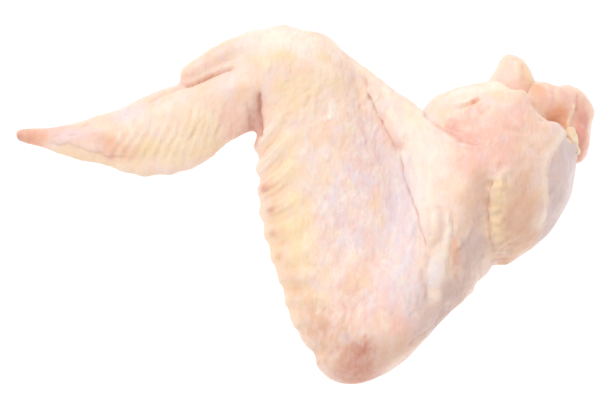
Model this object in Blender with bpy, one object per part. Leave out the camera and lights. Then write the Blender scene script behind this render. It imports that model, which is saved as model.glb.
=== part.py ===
"""A raw whole chicken wing, cut off at the shoulder and lying on its underside.

The skin-covered limb is one solid: the tip, the thumb-like alula beside it, the flat, the drumette
and the web of skin stretched between the two. It is open at the shoulder cut, where the meat and the
upper arm bone inside the drumette show.

The sizes below are millimetres and degrees; the model is in metres, with +Z up.
"""

import math
from typing import NamedTuple

import bmesh
import bpy
import numpy as np
from mathutils import Matrix, Vector

MM = 0.001


class Station(NamedTuple):
    """One upright cross-section of a limb, read across it from the leading to the trailing edge."""

    x: float
    y: float
    z: float
    half_width: float
    half_depth: float
    heading: float        # where the leading edge lies, seen from above
    skew: float = 0.0     # how much fuller the leading side is than the trailing side
    rise: float = 0.0     # how much the leading edge lies above the middle


class Ball(NamedTuple):
    """A rounded lump: its middle, its half sizes and its turn about the vertical."""

    x: float
    y: float
    z: float
    rx: float
    ry: float
    rz: float
    turn: float = 0.0


# How thick the skin is over the meat, and the clearance that touching solids keep.
SKIN_THICKNESS = 2.0
CLEARANCE = 0.35

# The tip: from its bare point to the wrist.
TIP = (
    Station(-74.8, 21.0, 1.6, 2.2, 1.8, 96, 0.0),
    Station(-69.1, 20.0, 2.3, 3.2, 2.4, 96, 0.1),
    Station(-60.4, 18.4, 3.3, 5.1, 3.3, 98, 0.2),
    Station(-51.7, 18.3, 4.3, 7.4, 4.2, 101, 0.3),
    Station(-43.3, 18.5, 5.4, 10.3, 4.9, 101, 0.35),
    Station(-35.4, 20.1, 6.6, 11.7, 5.6, 100, 0.35),
    Station(-27.4, 22.7, 8.0, 11.3, 6.2, 100, 0.35),
    Station(-19.7, 26.8, 9.6, 10.0, 6.9, 99, 0.3),
    Station(-12.0, 31.2, 11.0, 10.4, 7.8, 99, 0.2),
)
WRIST = Ball(-4.8, 35.6, 11.6, 12.4, 12.5, 9.8)

# The fullness that joins the wrist to the leading edge of the web.
WEB_ROOT = Ball(7.5, 32.4, 12.0, 10.0, 7.4, 8.0, -37)

# The alula: from the wrist to its free end, beside the leading edge of the tip.
ALULA = (
    Station(-10.5, 42.6, 13.0, 4.6, 5.0, 112),
    Station(-16.0, 41.0, 13.2, 4.4, 4.2, 112),
    Station(-23.4, 37.4, 12.8, 3.8, 3.5, 112),
    Station(-30.4, 34.0, 11.8, 2.6, 2.2, 122),
)

# The flat: from the wrist to the elbow. Its trailing edge is thin and scalloped.
FLAT = (
    Station(-1.6, 37.4, 12.0, 12.2, 9.6, 16),
    Station(1.4, 27.5, 10.8, 14.3, 9.2, 19, 0.15),
    Station(4.0, 18.2, 10.0, 16.3, 8.8, 17, 0.25),
    Station(8.5, -0.7, 9.3, 19.4, 8.5, 14, 0.3),
    Station(12.9, -19.2, 9.2, 18.2, 8.8, 12, 0.25),
    Station(13.9, -29.0, 9.2, 16.1, 9.2, 13, 0.15),
    Station(14.9, -37.0, 9.2, 12.2, 9.6, 15, 0.0),
)
SCALLOP_PITCH = 6.0
SCALLOP_HEIGHT = 0.7

# The drumette: from the elbow to beyond the shoulder cut.
DRUMETTE = (
    Station(14.8, -39.6, 9.0, 9.2, 9.2, 149),
    Station(22.5, -30.7, 10.2, 10.5, 10.4, 134),
    Station(30.2, -20.9, 12.4, 11.7, 12.8, 128),
    Station(36.6, -9.7, 15.0, 14.7, 15.4, 125),
    Station(41.8, -2.6, 16.2, 18.7, 16.8, 126),
    Station(47.6, 4.5, 17.0, 21.4, 17.6, 131),
    Station(53.2, 12.7, 17.2, 21.2, 17.6, 137),
    Station(59.5, 19.8, 17.0, 15.3, 16.6, 140),
    Station(66.0, 27.0, 15.5, 11.5, 14.5, 140),
)

# The fullness of the drumette's upper side beyond the web's leading edge.
DOME = Ball(40.4, 18.8, 15.6, 10.0, 9.2, 12.0)

# The web: from its leading edge down to the elbow, between the flat and the top of the drumette.
WEB = (
    Station(25.0, 24.6, 21.4, 22.4, 2.8, 137, 0.0, -9.0),
    Station(29.0, 13.5, 21.6, 18.6, 3.4, 145, 0.0, -9.5),
    Station(33.2, 4.0, 21.8, 13.6, 4.0, 155, 0.0, -9.0),
    Station(34.4, -7.5, 20.4, 10.8, 4.6, 156, 0.0, -6.5),
    Station(32.6, -18.4, 17.6, 8.4, 5.0, 154, 0.0, -4.0),
    Station(27.0, -27.0, 14.6, 8.0, 5.0, 150, 0.0, -1.5),
)

# Where limbs flow into each other: the points a soft stretch runs through, and how far it reaches.
SOFT_STRETCHES = (
    (((43.0, 11.0), (39.5, 1.0), (38.0, -10.0), (33.0, -22.0)), 9.0),
    (((-14.0, 40.0), (-3.0, 41.0), (9.0, 37.0)), 7.0),
    (((-12.0, 33.0), (-5.0, 30.0)), 8.0),
    (((11.0, -38.0), (18.0, -31.0), (25.0, -24.0)), 9.0),
)

# Creases pressed into the skin: the points each runs through, its half width and its depth.
CREASES = (
    (((12.2, 37.4), (17.0, 27.0), (21.8, 16.0), (25.6, 3.5), (28.6, -9.5), (29.4, -20.0)), 1.4, 1.4),
    (((-10.5, 27.0), (-11.5, 21.0), (-11.0, 15.0)), 1.4, 1.4),
    (((35.5, -11.7), (34.6, -18.7), (32.5, -26.0)), 1.3, 0.8),
    (((38.2, -12.5), (37.8, -18.7), (38.5, -26.0)), 1.2, 0.7),
    (((46.8, 2.2), (45.6, -5.0), (46.0, -12.5), (47.8, -18.0)), 1.4, 0.8),
    (((-66.0, 17.5), (-56.0, 14.6), (-46.0, 12.2), (-36.0, 12.8)), 1.3, 0.6),
    (((-31.0, 31.6), (-24.0, 34.2), (-17.0, 37.6), (-12.0, 39.0)), 1.2, 0.8),
)

# The shoulder cut: a point on it, and where it faces, turned round the vertical and tipped up.
CUT_POINT = (60.5, 17.5, 31.0)
CUT_HEADING = 49.0
CUT_TILT = 18.0
MEAT_RECESS = 1.0

# The ends of muscle that stand out of the cut.
LOBES = (
    Ball(60.5, 25.0, 17.0, 6.5, 5.0, 7.0, 5),
    Ball(65.5, 25.0, 16.0, 5.5, 4.3, 6.0, -5),
    Ball(69.6, 25.4, 15.5, 4.4, 4.2, 5.0, 0),
    Ball(72.7, 23.4, 14.0, 3.4, 4.4, 4.8, 10),
    Ball(72.2, 17.6, 12.0, 3.0, 7.2, 5.5, -5),
    Ball(68.6, 20.0, 13.0, 2.6, 5.0, 5.0, 0),
    Ball(65.0, 21.5, 9.5, 6.0, 5.0, 6.5, 40),
)

# The upper arm bone, from near the elbow to its gristly head in the cut.
BONE = (
    Station(20.0, -31.0, 11.0, 3.4, 3.4, 140),
    Station(27.0, -19.0, 13.0, 2.8, 2.8, 145),
    Station(40.0, 4.0, 16.5, 2.8, 2.8, 150),
    Station(50.5, 20.0, 19.2, 4.6, 4.2, 155),
    Station(53.5, 25.5, 20.0, 6.2, 5.0, 165),
    Station(55.0, 29.8, 20.3, 5.4, 4.5, 170),
    Station(55.4, 32.4, 20.4, 4.4, 3.8, 172),
    Station(55.2, 34.2, 20.4, 3.4, 3.2, 172),
)

# How far past its last station each end of a limb is rounded.
TIP_ENDS = (1.8, 3.0)
ALULA_ENDS = (3.0, 2.0)
FLAT_ENDS = (8.5, 10.4)
DRUMETTE_ENDS = (4.0, 4.0)
WEB_ENDS = (3.4, 3.4)
BONE_ENDS = (3.6, 2.6)
CORE_FIRST_STATION = 2

# How finely shapes are made: steps between two stations, sides round a limb, rings in a rounded
# end, the turn of its last ring, a lump's subdivisions, steps between two points of a path, and
# the weight of one smoothing pass.
LOFT_STEPS = 4
FLAT_STEPS = 10
LOFT_SIDES = 32
CAP_RINGS = 4
CAP_TURN = 86.0
LUMP_SUBDIVISIONS = 3
PATH_STEPS = 12
SMOOTHING = 0.5

# The grain that shapes are merged at, the smoothing passes that follow, and the triangles kept.
BONE_MESH = (0.8, 3, 480)
MEAT_MESH = (0.9, 5, 1300)
SKIN_MESH = (0.9, 8, 5000)
STRETCH_PASSES = 50
CREASE_PASSES = 3

# A soft stretch is at full strength over the inner half of its reach, and a crease is pressed
# fully wherever the skin's slope is gentler than one in this many.
STRETCH_EDGE = 2.0
CREASE_SLOPE = 1.6

# Cutting blocks: the size of the shoulder cut's, and the three sizes of the table's.
CUT_SIZE = 120.0
TABLE_SIZE = (400.0, 400.0, 60.0)

# How each solid looks.
SHARP_ANGLE = 40.0
SKIN_ROUGHNESS = 0.45
MEAT_ROUGHNESS = 0.35
BONE_ROUGHNESS = 0.35
SKIN_COLOUR = (0.86, 0.66, 0.54, 1.0)
MEAT_COLOUR = (0.78, 0.38, 0.27, 1.0)
BONE_COLOUR = (0.90, 0.70, 0.56, 1.0)


def clear_scene():
    """Remove every object that the new file holds."""
    for item in list(bpy.data.objects):
        bpy.data.objects.remove(item, do_unlink=True)


def smooth_rows(rows, steps):
    """Rows read off a smooth curve through the given rows, with the given steps in each span."""
    rows = np.array(rows, dtype=float)
    first = 2 * rows[0] - rows[1]
    last = 2 * rows[-1] - rows[-2]
    guides = np.vstack([first, rows, last])
    result = []
    for before, start, end, after in zip(guides, guides[1:], guides[2:], guides[3:]):
        for step in range(steps):
            t = step / steps
            bend = 2 * before - 5 * start + 4 * end - after
            twist = 3 * start - before - 3 * end + after
            result.append(start + 0.5 * ((end - before) * t + bend * t**2 + twist * t**3))
    result.append(rows[-1])
    return np.array(result)


def loft(name, stations, ends, steps=LOFT_STEPS, scallops=False, shrink=0.0):
    """A closed tube through the stations, with its two ends rounded over the given lengths."""
    rows = smooth_rows(stations, steps)
    rows[:, 3:5] -= shrink
    spine = rows[:, :3]
    travelled = np.concatenate([[0], np.cumsum(np.linalg.norm(np.diff(spine, axis=0), axis=1))])
    bm = bmesh.new()
    loops = []

    def add_ring(row, middle, scale, trailing_wave):
        """One closed loop of edges round a cross-section."""
        across = Vector((math.cos(math.radians(row[5])), math.sin(math.radians(row[5])), 0))
        ring = []
        for side in range(LOFT_SIDES):
            angle = 2 * math.pi * side / LOFT_SIDES
            lead = math.cos(angle)
            fullness = 1 + row[6] * lead
            edge_wave = trailing_wave * max(0.0, -lead) ** 3
            offset = across * ((row[3] * lead - edge_wave) * scale)
            height = (row[4] * math.sin(angle) * fullness + row[7] * lead) * scale
            ring.append(bm.verts.new((middle + offset + Vector((0, 0, height))) * MM))
        loops.append([bm.edges.new((a, b)) for a, b in zip(ring, ring[1:] + ring[:1])])

    def add_cap(row, outward, length, turns):
        """The rings of a rounded end, which shrink as their turn goes up."""
        for turn in turns:
            angle = math.radians(CAP_TURN) * turn / CAP_RINGS
            middle = Vector(row[:3]) + outward * length * math.sin(angle)
            add_ring(row, middle, math.cos(angle), 0.0)

    start_way = Vector(spine[0] - spine[1]).normalized()
    end_way = Vector(spine[-1] - spine[-2]).normalized()
    add_cap(rows[0], start_way, ends[0], range(CAP_RINGS, 0, -1))
    for row, distance in zip(rows, travelled):
        wave = SCALLOP_HEIGHT * math.cos(2 * math.pi * distance / SCALLOP_PITCH) if scallops else 0.0
        add_ring(row, Vector(row[:3]), 1.0, wave)
    add_cap(rows[-1], end_way, ends[1], range(1, CAP_RINGS + 1))

    for near, far in zip(loops, loops[1:]):
        bmesh.ops.bridge_loops(bm, edges=near + far)
    bmesh.ops.holes_fill(bm, edges=bm.edges, sides=0)
    bmesh.ops.recalc_face_normals(bm, faces=bm.faces)
    return new_object(name, bm)


def lump(ball):
    """A turned ellipsoid."""
    bm = bmesh.new()
    bmesh.ops.create_icosphere(bm, subdivisions=LUMP_SUBDIVISIONS, radius=1.0)
    bmesh.ops.scale(bm, vec=Vector((ball.rx, ball.ry, ball.rz)) * MM, verts=bm.verts)
    item = new_object("lump", bm)
    item.rotation_euler.z = math.radians(ball.turn)
    item.location = Vector((ball.x, ball.y, ball.z)) * MM
    return item


def new_object(name, bm):
    """An object in the scene that holds the given mesh."""
    mesh = bpy.data.meshes.new(name)
    bm.to_mesh(mesh)
    bm.free()
    item = bpy.data.objects.new(name, mesh)
    bpy.context.collection.objects.link(item)
    return item


def apply_modifiers(item):
    """Make what the modifiers give the object's own mesh."""
    bpy.context.view_layer.update()
    shaped = item.evaluated_get(bpy.context.evaluated_depsgraph_get())
    mesh = bpy.data.meshes.new_from_object(shaped)
    item.modifiers.clear()
    item.data = mesh


def merge(name, pieces, grain, passes):
    """One closed skin round all the pieces, rounded where they meet."""
    bm = bmesh.new()
    bpy.context.view_layer.update()
    for piece in pieces:
        part = bmesh.new()
        part.from_mesh(piece.data)
        part.transform(piece.matrix_world)
        mesh = bpy.data.meshes.new("joined")
        part.to_mesh(mesh)
        part.free()
        bm.from_mesh(mesh)
        bpy.data.objects.remove(piece, do_unlink=True)
    item = new_object(name, bm)
    remesh = item.modifiers.new("one skin", "REMESH")
    remesh.mode = "VOXEL"
    remesh.voxel_size = grain * MM
    apply_modifiers(item)
    smooth(item, passes)
    return item


def smooth(item, passes, group=""):
    """Smooth the item the given number of times, or only the points of a group."""
    soften = item.modifiers.new("soften", "SMOOTH")
    soften.factor = SMOOTHING
    soften.iterations = passes
    soften.vertex_group = group
    apply_modifiers(item)


def read_points(mesh, name="co"):
    """The mesh's points, or another of its vertex vectors, as an array."""
    values = np.empty(len(mesh.vertices) * 3)
    mesh.vertices.foreach_get(name, values)
    return values.reshape(-1, 3)


def distance_along(points, path):
    """How far each point lies, seen from above, from the smooth curve through the path."""
    route = smooth_rows(path, PATH_STEPS) * MM
    return np.linalg.norm(points[:, None, :2] - route[None, :, :], axis=2).min(axis=1)


def soften_stretches(item):
    """Round the item strongly where one limb flows into another."""
    points = read_points(item.data)
    reach = np.zeros(len(points))
    for path, half_width in SOFT_STRETCHES:
        nearness = 1 - distance_along(points, path) / (half_width * MM)
        reach = np.maximum(reach, np.clip(nearness * STRETCH_EDGE, 0, 1))
    group = item.vertex_groups.new(name="soft_stretches")
    for index in np.flatnonzero(reach):
        group.add([int(index)], float(reach[index]), "REPLACE")
    smooth(item, STRETCH_PASSES, group.name)


def press_creases(item):
    """Push the upper side down along each crease."""
    points = read_points(item.data)
    upward = np.clip(read_points(item.data, "normal")[:, 2] * CREASE_SLOPE, 0, 1)
    for path, half_width, depth in CREASES:
        nearness = distance_along(points, path) / (half_width * MM)
        points[:, 2] -= depth * MM * np.exp(-(nearness**2)) * upward
    item.data.vertices.foreach_set("co", points.ravel())
    smooth(item, CREASE_PASSES)


def reduce(item, triangles):
    """Collapse the mesh to about the given number of triangles."""
    decimate = item.modifiers.new("reduce", "DECIMATE")
    item.data.calc_loop_triangles()
    decimate.ratio = triangles / len(item.data.loop_triangles)
    apply_modifiers(item)


def cut_block(recess):
    """A block that covers everything beyond the shoulder cut, moved back by the recess."""
    bm = bmesh.new()
    bmesh.ops.create_cube(bm, size=CUT_SIZE * MM)
    block = new_object("beyond_cut", bm)
    heading = math.radians(CUT_HEADING)
    tilt = math.radians(CUT_TILT)
    facing = Vector((
        math.cos(tilt) * math.cos(heading),
        math.cos(tilt) * math.sin(heading),
        math.sin(tilt),
    ))
    block.rotation_euler = facing.to_track_quat("X", "Z").to_euler()
    block.location = (Vector(CUT_POINT) + facing * (CUT_SIZE / 2 - recess)) * MM
    return as_cutter(block)


def table_block():
    """A block that covers everything below the surface that the wing rests on."""
    bm = bmesh.new()
    bmesh.ops.create_cube(bm, size=1.0)
    bmesh.ops.scale(bm, vec=Vector(TABLE_SIZE) * MM, verts=bm.verts)
    bmesh.ops.translate(bm, vec=Vector((0, 0, -TABLE_SIZE[2] / 2)) * MM, verts=bm.verts)
    return as_cutter(new_object("table", bm))


def as_cutter(item):
    """Mark an object as one that only cuts others."""
    item.hide_render = True
    item.display_type = "WIRE"
    return item


def grown_copy(item):
    """A copy that is larger all round by the clearance, to cut the room for the item."""
    copy = bpy.data.objects.new("room_for_" + item.name, item.data.copy())
    bpy.context.collection.objects.link(copy)
    grow = copy.modifiers.new("grow", "DISPLACE")
    grow.direction = "NORMAL"
    grow.mid_level = 0.0
    grow.strength = CLEARANCE * MM
    apply_modifiers(copy)
    return as_cutter(copy)


def subtract(item, cutters):
    """Cut each of the cutters out of the item."""
    for cutter in cutters:
        boolean = item.modifiers.new("cut", "BOOLEAN")
        boolean.operation = "DIFFERENCE"
        boolean.solver = "EXACT"
        boolean.object = cutter
        apply_modifiers(item)


def dress(item, name, colour, roughness):
    """Give the item its material and smooth shading."""
    material = bpy.data.materials.new(name)
    material.use_nodes = True
    shader = material.node_tree.nodes["Principled BSDF"]
    shader.inputs["Base Color"].default_value = colour
    shader.inputs["Roughness"].default_value = roughness
    shader.inputs["Metallic"].default_value = 0.0
    item.data.materials.clear()
    item.data.materials.append(material)
    item.data.shade_smooth()
    item.data.set_sharp_from_angle(angle=math.radians(SHARP_ANGLE))


def build_bone():
    """The upper arm bone with its gristly head."""
    grain, passes, triangles = BONE_MESH
    shaft = loft("shaft", BONE, BONE_ENDS)
    bone = merge("humerus_bone", [shaft], grain, passes)
    reduce(bone, triangles)
    return bone


def build_meat():
    """The muscle inside the drumette, cut back at the shoulder, with the ends that stand out."""
    grain, passes, triangles = MEAT_MESH
    core = loft("core", DRUMETTE[CORE_FIRST_STATION:], DRUMETTE_ENDS, shrink=SKIN_THICKNESS)
    subtract(core, [cut_block(MEAT_RECESS)])
    meat = merge("drumette_meat", [core] + [lump(ball) for ball in LOBES], grain, passes)
    reduce(meat, triangles)
    return meat


def build_skin(rooms):
    """The skin-covered limb, open at the shoulder cut, with the given rooms inside."""
    grain, passes, triangles = SKIN_MESH
    limbs = [
        loft("tip", TIP, TIP_ENDS),
        loft("alula", ALULA, ALULA_ENDS),
        loft("flat", FLAT, FLAT_ENDS, steps=FLAT_STEPS, scallops=True),
        loft("drumette", DRUMETTE, DRUMETTE_ENDS),
        loft("web", WEB, WEB_ENDS),
        lump(WRIST),
        lump(WEB_ROOT),
        lump(DOME),
    ]
    skin = merge("wing_skin", limbs, grain, passes)
    soften_stretches(skin)
    press_creases(skin)
    reduce(skin, triangles)
    subtract(skin, [cut_block(0.0)] + rooms)
    return skin


def move_to_origin(items):
    """Move the items together, so that the middle of their box's bottom is the origin."""
    points = np.array([vertex.co for item in items for vertex in item.data.vertices])
    middle = (points.min(axis=0) + points.max(axis=0)) / 2
    shift = Vector((-middle[0], -middle[1], -points[:, 2].min()))
    for item in items:
        item.data.transform(Matrix.Translation(shift))


def main():
    """Build the wing from the inside out and put its middle over the origin."""
    clear_scene()
    bone = build_bone()
    meat = build_meat()
    bone_room = grown_copy(bone)
    skin = build_skin([grown_copy(meat), bone_room])
    subtract(meat, [bone_room])
    table = table_block()
    for item in (skin, meat, bone):
        subtract(item, [table])
    for cutter in [item for item in bpy.data.objects if item.hide_render]:
        bpy.data.objects.remove(cutter, do_unlink=True)
    move_to_origin((skin, meat, bone))
    dress(skin, "chicken_skin", SKIN_COLOUR, SKIN_ROUGHNESS)
    dress(meat, "raw_meat", MEAT_COLOUR, MEAT_ROUGHNESS)
    dress(bone, "gristle", BONE_COLOUR, BONE_ROUGHNESS)


main()
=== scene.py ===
"""A raw chicken wing, skin on, lying flat with its shoulder end cut.

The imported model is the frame, and each class makes one part of the wing over it: WingSkin, the
wet skin from the tip to the cut; ShoulderMeat, the flesh inside the cut; GristleKnob, the capped
end of the bone; FatTag, the strip of fat beside the cut; and Studio, the floor, lights and camera.
A place on the wing is a share of the frame's length and width, seen from above. Sizes on the
skin are in millimetres.
"""

import logging
import math
from dataclasses import dataclass, field, replace
from enum import Enum
from typing import Any, Sequence

import bpy
import numpy as np
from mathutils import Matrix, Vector, noise


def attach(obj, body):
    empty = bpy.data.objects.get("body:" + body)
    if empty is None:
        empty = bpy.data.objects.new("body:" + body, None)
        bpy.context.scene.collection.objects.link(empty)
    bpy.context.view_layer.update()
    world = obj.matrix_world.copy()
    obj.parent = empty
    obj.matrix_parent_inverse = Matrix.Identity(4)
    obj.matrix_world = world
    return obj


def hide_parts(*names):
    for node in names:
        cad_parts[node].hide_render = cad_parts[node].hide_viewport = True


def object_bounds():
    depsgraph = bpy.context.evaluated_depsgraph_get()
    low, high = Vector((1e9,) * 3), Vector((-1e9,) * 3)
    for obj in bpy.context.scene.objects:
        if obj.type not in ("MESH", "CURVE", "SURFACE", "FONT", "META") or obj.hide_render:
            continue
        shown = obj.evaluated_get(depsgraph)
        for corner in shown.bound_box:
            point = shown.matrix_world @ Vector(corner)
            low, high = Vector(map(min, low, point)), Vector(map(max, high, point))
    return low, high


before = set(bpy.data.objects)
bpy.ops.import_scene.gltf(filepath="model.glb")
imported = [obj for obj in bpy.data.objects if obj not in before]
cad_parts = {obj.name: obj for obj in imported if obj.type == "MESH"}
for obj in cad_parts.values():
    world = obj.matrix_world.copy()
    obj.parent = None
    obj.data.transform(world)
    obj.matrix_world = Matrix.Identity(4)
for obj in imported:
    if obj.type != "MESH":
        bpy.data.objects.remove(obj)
CAD_LOW, CAD_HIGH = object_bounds()

MM = 0.001
WELD = 0.01 * MM
BODY = "root"
LOG = logging.getLogger("chicken_wing")

Place = tuple[float, float]


# --------------------------------------------------------------------------------------
# Mesh steps that every piece shares
# --------------------------------------------------------------------------------------


def select_only(*items: bpy.types.Object) -> None:
    """Select these objects and nothing else, and make the first one active.

    Args:
        *items: The objects to select.
    """
    bpy.ops.object.select_all(action="DESELECT")
    for item in items:
        item.select_set(True)
    bpy.context.view_layer.objects.active = items[0]


def apply_modifier(item: bpy.types.Object, kind: str, **settings: Any) -> None:
    """Add a modifier with these settings and apply it.

    Args:
        item: The object to change.
        kind: Blender's name of the modifier's type.
        **settings: The modifier's own properties.
    """
    select_only(item)
    modifier = item.modifiers.new(kind.lower(), kind)
    for name, value in settings.items():
        setattr(modifier, name, value)
    bpy.ops.object.modifier_apply(modifier=modifier.name)


def merged_copy(node: str, name: str) -> bpy.types.Object:
    """Copy a frame node's mesh into a new object and merge its loose triangles.

    Args:
        node: The frame node's name.
        name: The new object's name.

    Returns:
        The new object, one closed mesh.
    """
    item = bpy.data.objects.new(name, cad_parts[node].data.copy())
    item.data.materials.clear()
    bpy.context.scene.collection.objects.link(item)
    select_only(item)
    bpy.ops.object.mode_set(mode="EDIT")
    bpy.ops.mesh.select_all(action="SELECT")
    bpy.ops.mesh.remove_doubles(threshold=WELD)
    bpy.ops.object.mode_set(mode="OBJECT")
    return item


def swell(item: bpy.types.Object, amount: float) -> None:
    """Move an object's surface out along its normals by this many millimetres."""
    apply_modifier(item, "DISPLACE", strength=amount * MM, mid_level=0.0)


def join(name: str, items: Sequence[bpy.types.Object]) -> bpy.types.Object:
    """Join objects into the first one and name it.

    Args:
        name: The joined object's name.
        items: The objects, with the one to keep first.

    Returns:
        The joined object.
    """
    select_only(*items)
    bpy.ops.object.join()
    items[0].name = name
    return items[0]


def resurface(item: bpy.types.Object, voxel: float, smoothing: int) -> None:
    """Fuse an object's shells into one closed surface of small, even faces, and smooth it.

    Args:
        item: The object to change.
        voxel: The size of its new faces in millimetres.
        smoothing: How many times it is smoothed.
    """
    apply_modifier(item, "REMESH", mode="VOXEL", voxel_size=voxel * MM)
    apply_modifier(item, "SMOOTH", factor=0.5, iterations=smoothing)


def read_vectors(block: Any, attribute: str) -> np.ndarray:
    """Read a three-part attribute of a Blender collection.

    Args:
        block: The collection, such as a mesh's vertices.
        attribute: The attribute's name.

    Returns:
        A row of three numbers for each item.
    """
    values = np.empty(len(block) * 3, np.float32)
    block.foreach_get(attribute, values)
    return values.reshape(-1, 3).astype(float)


def ramp(values: np.ndarray, low: float, high: float) -> np.ndarray:
    """Rise smoothly from 0 at low to 1 at high."""
    share = np.clip((values - low) / (high - low), 0.0, 1.0)
    return share * share * (3.0 - 2.0 * share)


def hill(distance: np.ndarray, width: float) -> np.ndarray:
    """A soft hill, 1 at distance 0 and about a third at the given width."""
    return np.exp(-((distance / width) ** 2))


def heading(angle: float) -> np.ndarray:
    """Return the direction at this angle in radians, seen from above."""
    return np.array([math.cos(angle), math.sin(angle)])


def left_of(way: np.ndarray) -> np.ndarray:
    """Return the direction to the left of another one, seen from above."""
    return np.array([-way[1], way[0]])


def bent_line(foot: np.ndarray, way: np.ndarray, stops: Sequence[float], bow: Any) -> np.ndarray:
    """Return a slightly bent line of three points.

    Args:
        foot: The position that distances are taken from, in millimetres.
        way: The line's direction.
        stops: How far from the foot each of its points is.
        bow: How its middle point is moved aside.

    Returns:
        The three points, one row each.
    """
    line = foot + np.outer(stops, way)
    line[1] += bow
    return line


# --------------------------------------------------------------------------------------
# Places, folds, dimples and patches of colour
# --------------------------------------------------------------------------------------


class Tint(Enum):
    """The tints that a surface carries, each held in a point attribute of this name.

    Besides the skin's own stains they hold painted shade, in creases, hollows and flanks
    turned from the light, and painted highlights on raised lines and lit tops.
    """

    # The skin's own pale cream, and partly painted highlight.
    CREAM_AND_HIGHLIGHT = "tint_cream_and_highlight"
    BUTTER = "tint_butter"
    BLUSH = "tint_blush"
    LILAC = "tint_lilac"
    TAN = "tint_tan"
    # The skin's own grey mauve, and partly painted shade.
    MAUVE_AND_SHADE = "tint_mauve_and_shade"
    ORANGE = "tint_orange"
    BRICK = "tint_brick"
    MOTTLE = "tint_mottle"


@dataclass(frozen=True)
class Trend:
    """A value that changes along a line: shares of the way along it, and the value at each."""

    shares: tuple[float, ...]
    values: tuple[float, ...]

    def at(self, share: float) -> float:
        """Return the value at a share of the way."""
        return float(np.interp(share, self.shares, self.values))


@dataclass(frozen=True)
class Fold:
    """A line in the surface: pressed in, or raised where its depth is negative.

    Its places run from start to end, and the left side is the one on the left when walking
    that way, seen from above. Depth, width, step, reach and overhang are in millimetres. The
    step lifts the skin on the left over that reach, the overhang draws it out over the line,
    and blunt is the share of the line over which each end fades out. Its tint is partly the
    skin's own colour and partly painted light: painted shade in a pressed-in line, and a
    painted highlight on a raised one.
    """

    places: tuple[Place, ...]
    depth: float
    width: float
    tint: Tint | None = None
    stain_and_painted_light: float = 0.0
    stain_and_light_width: float = 1.0
    step: float = 0.0
    reach: float = 4.0
    overhang: float = 0.0
    blunt: float = 0.15

    def scaled(self, depth: float, stain_and_painted_light: float = 1.0) -> "Fold":
        """Return the same fold with its depth and its tint's share multiplied."""
        return replace(self, depth=self.depth * depth, stain_and_painted_light=self.stain_and_painted_light * stain_and_painted_light)


@dataclass(frozen=True)
class Dimple:
    """A round hollow, or a bump where its depth is negative, with its tint: partly the skin's own
    colour, partly painted shade in a hollow and painted highlight on a bump.
    """

    place: Place
    depth: float
    radius: float
    tint: Tint | None = None
    stain_and_painted_light: float = 0.0

    def scaled(self, depth: float, radius: float = 1.0, stain_and_painted_light: float = 1.0) -> "Dimple":
        """Return the same dimple with its depth, radius and tint's share multiplied."""
        return Dimple(self.place, self.depth * depth, self.radius * radius, self.tint, self.stain_and_painted_light * stain_and_painted_light)


@dataclass(frozen=True)
class Patch:
    """A soft oval of one tint: half length and half width in millimetres, turned in degrees."""

    tint: Tint
    place: Place
    length: float
    width: float
    turn: float = 0.0
    share: float = 0.6


def patches_of(tint: Tint, *rows: tuple) -> tuple[Patch, ...]:
    """Return patches of one tint; each row is a place, half length, half width, turn and share."""
    return tuple(Patch(tint, *row) for row in rows)


@dataclass(frozen=True)
class Lumps:
    """A soft unevenness all over: its size and height in millimetres, and a seed of its own."""

    size: float
    height: float
    seed: float


@dataclass(frozen=True)
class Pull:
    """A place that the surface is drawn sideways at: how far, in millimetres, and how widely."""

    place: Place
    move: tuple[float, float]
    radius: float


@dataclass(frozen=True)
class Creases:
    """Fine, short lines strewn over an oval: its half sizes in millimetres and its turn in degrees.

    Each line is about as long, either way from its middle, as `line` says, and a raised line
    runs beside it at `gap`. The lengths and strengths are ranges of shares; sway is how
    unevenly the lines lean, in radians, and bow how unevenly they bend, in millimetres. The
    groove and the crest are the widths of the line and of the raised one. The line's tint is
    partly the skin's own colour and partly painted shade in its groove, and the raised line
    takes a cream painted highlight.
    """

    place: Place
    length: float
    width: float
    turn: float
    count: int
    depth: float = 0.14
    tint: Tint = Tint.MAUVE_AND_SHADE
    stain_and_painted_light: float = 0.3
    line: float = 3.0
    lengths: tuple[float, float] = (0.5, 1.3)
    strengths: tuple[float, float] = (0.4, 1.0)
    sway: float = 0.3
    bow: float = 0.35
    gap: float = 0.8
    groove: float = 0.4
    crest: float = 0.5
    blunt: float = 0.4


@dataclass(frozen=True)
class Plan:
    """The wing seen from above, as a frame for places."""

    low: np.ndarray
    span: np.ndarray

    def point(self, place: Place) -> np.ndarray:
        """Return a place's position in millimetres."""
        return self.low + self.span * np.array(place)

    def path(self, places: Sequence[Place], steps: int = 10) -> np.ndarray:
        """Return a smooth path in millimetres through the places.

        Args:
            places: The places to pass through, two or more.
            steps: How many stretches lie between two places.

        Returns:
            The path's points, one row each.
        """
        knots = np.array([self.point(place) for place in places])
        ends = np.vstack([2 * knots[0] - knots[1], knots, 2 * knots[-1] - knots[-2]])
        rows = [knots[0]]
        for a, b, c, d in zip(ends, ends[1:], ends[2:], ends[3:]):
            for step in range(1, steps + 1):
                t = step / steps
                rows.append(0.5 * (
                    2 * b + (c - a) * t
                    + (2 * a - 5 * b + 4 * c - d) * t ** 2
                    + (3 * b - a - 3 * c + d) * t ** 3
                ))
        return np.array(rows)


def walk(path: np.ndarray, spacing: float, start: float = 0.0) -> list[tuple[np.ndarray, float]]:
    """Step along a path.

    Args:
        path: The path's points in millimetres.
        spacing: The distance between two steps.
        start: How far along the path the first step is.

    Returns:
        For each step, its position and its share of the way along the path.
    """
    runs = np.concatenate([[0.0], np.cumsum(np.hypot(*np.diff(path, axis=0).T))])
    stops = np.arange(start, runs[-1], spacing)
    spots = [np.array([np.interp(stop, runs, axis) for axis in path.T]) for stop in stops]
    return list(zip(spots, stops / runs[-1]))


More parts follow.
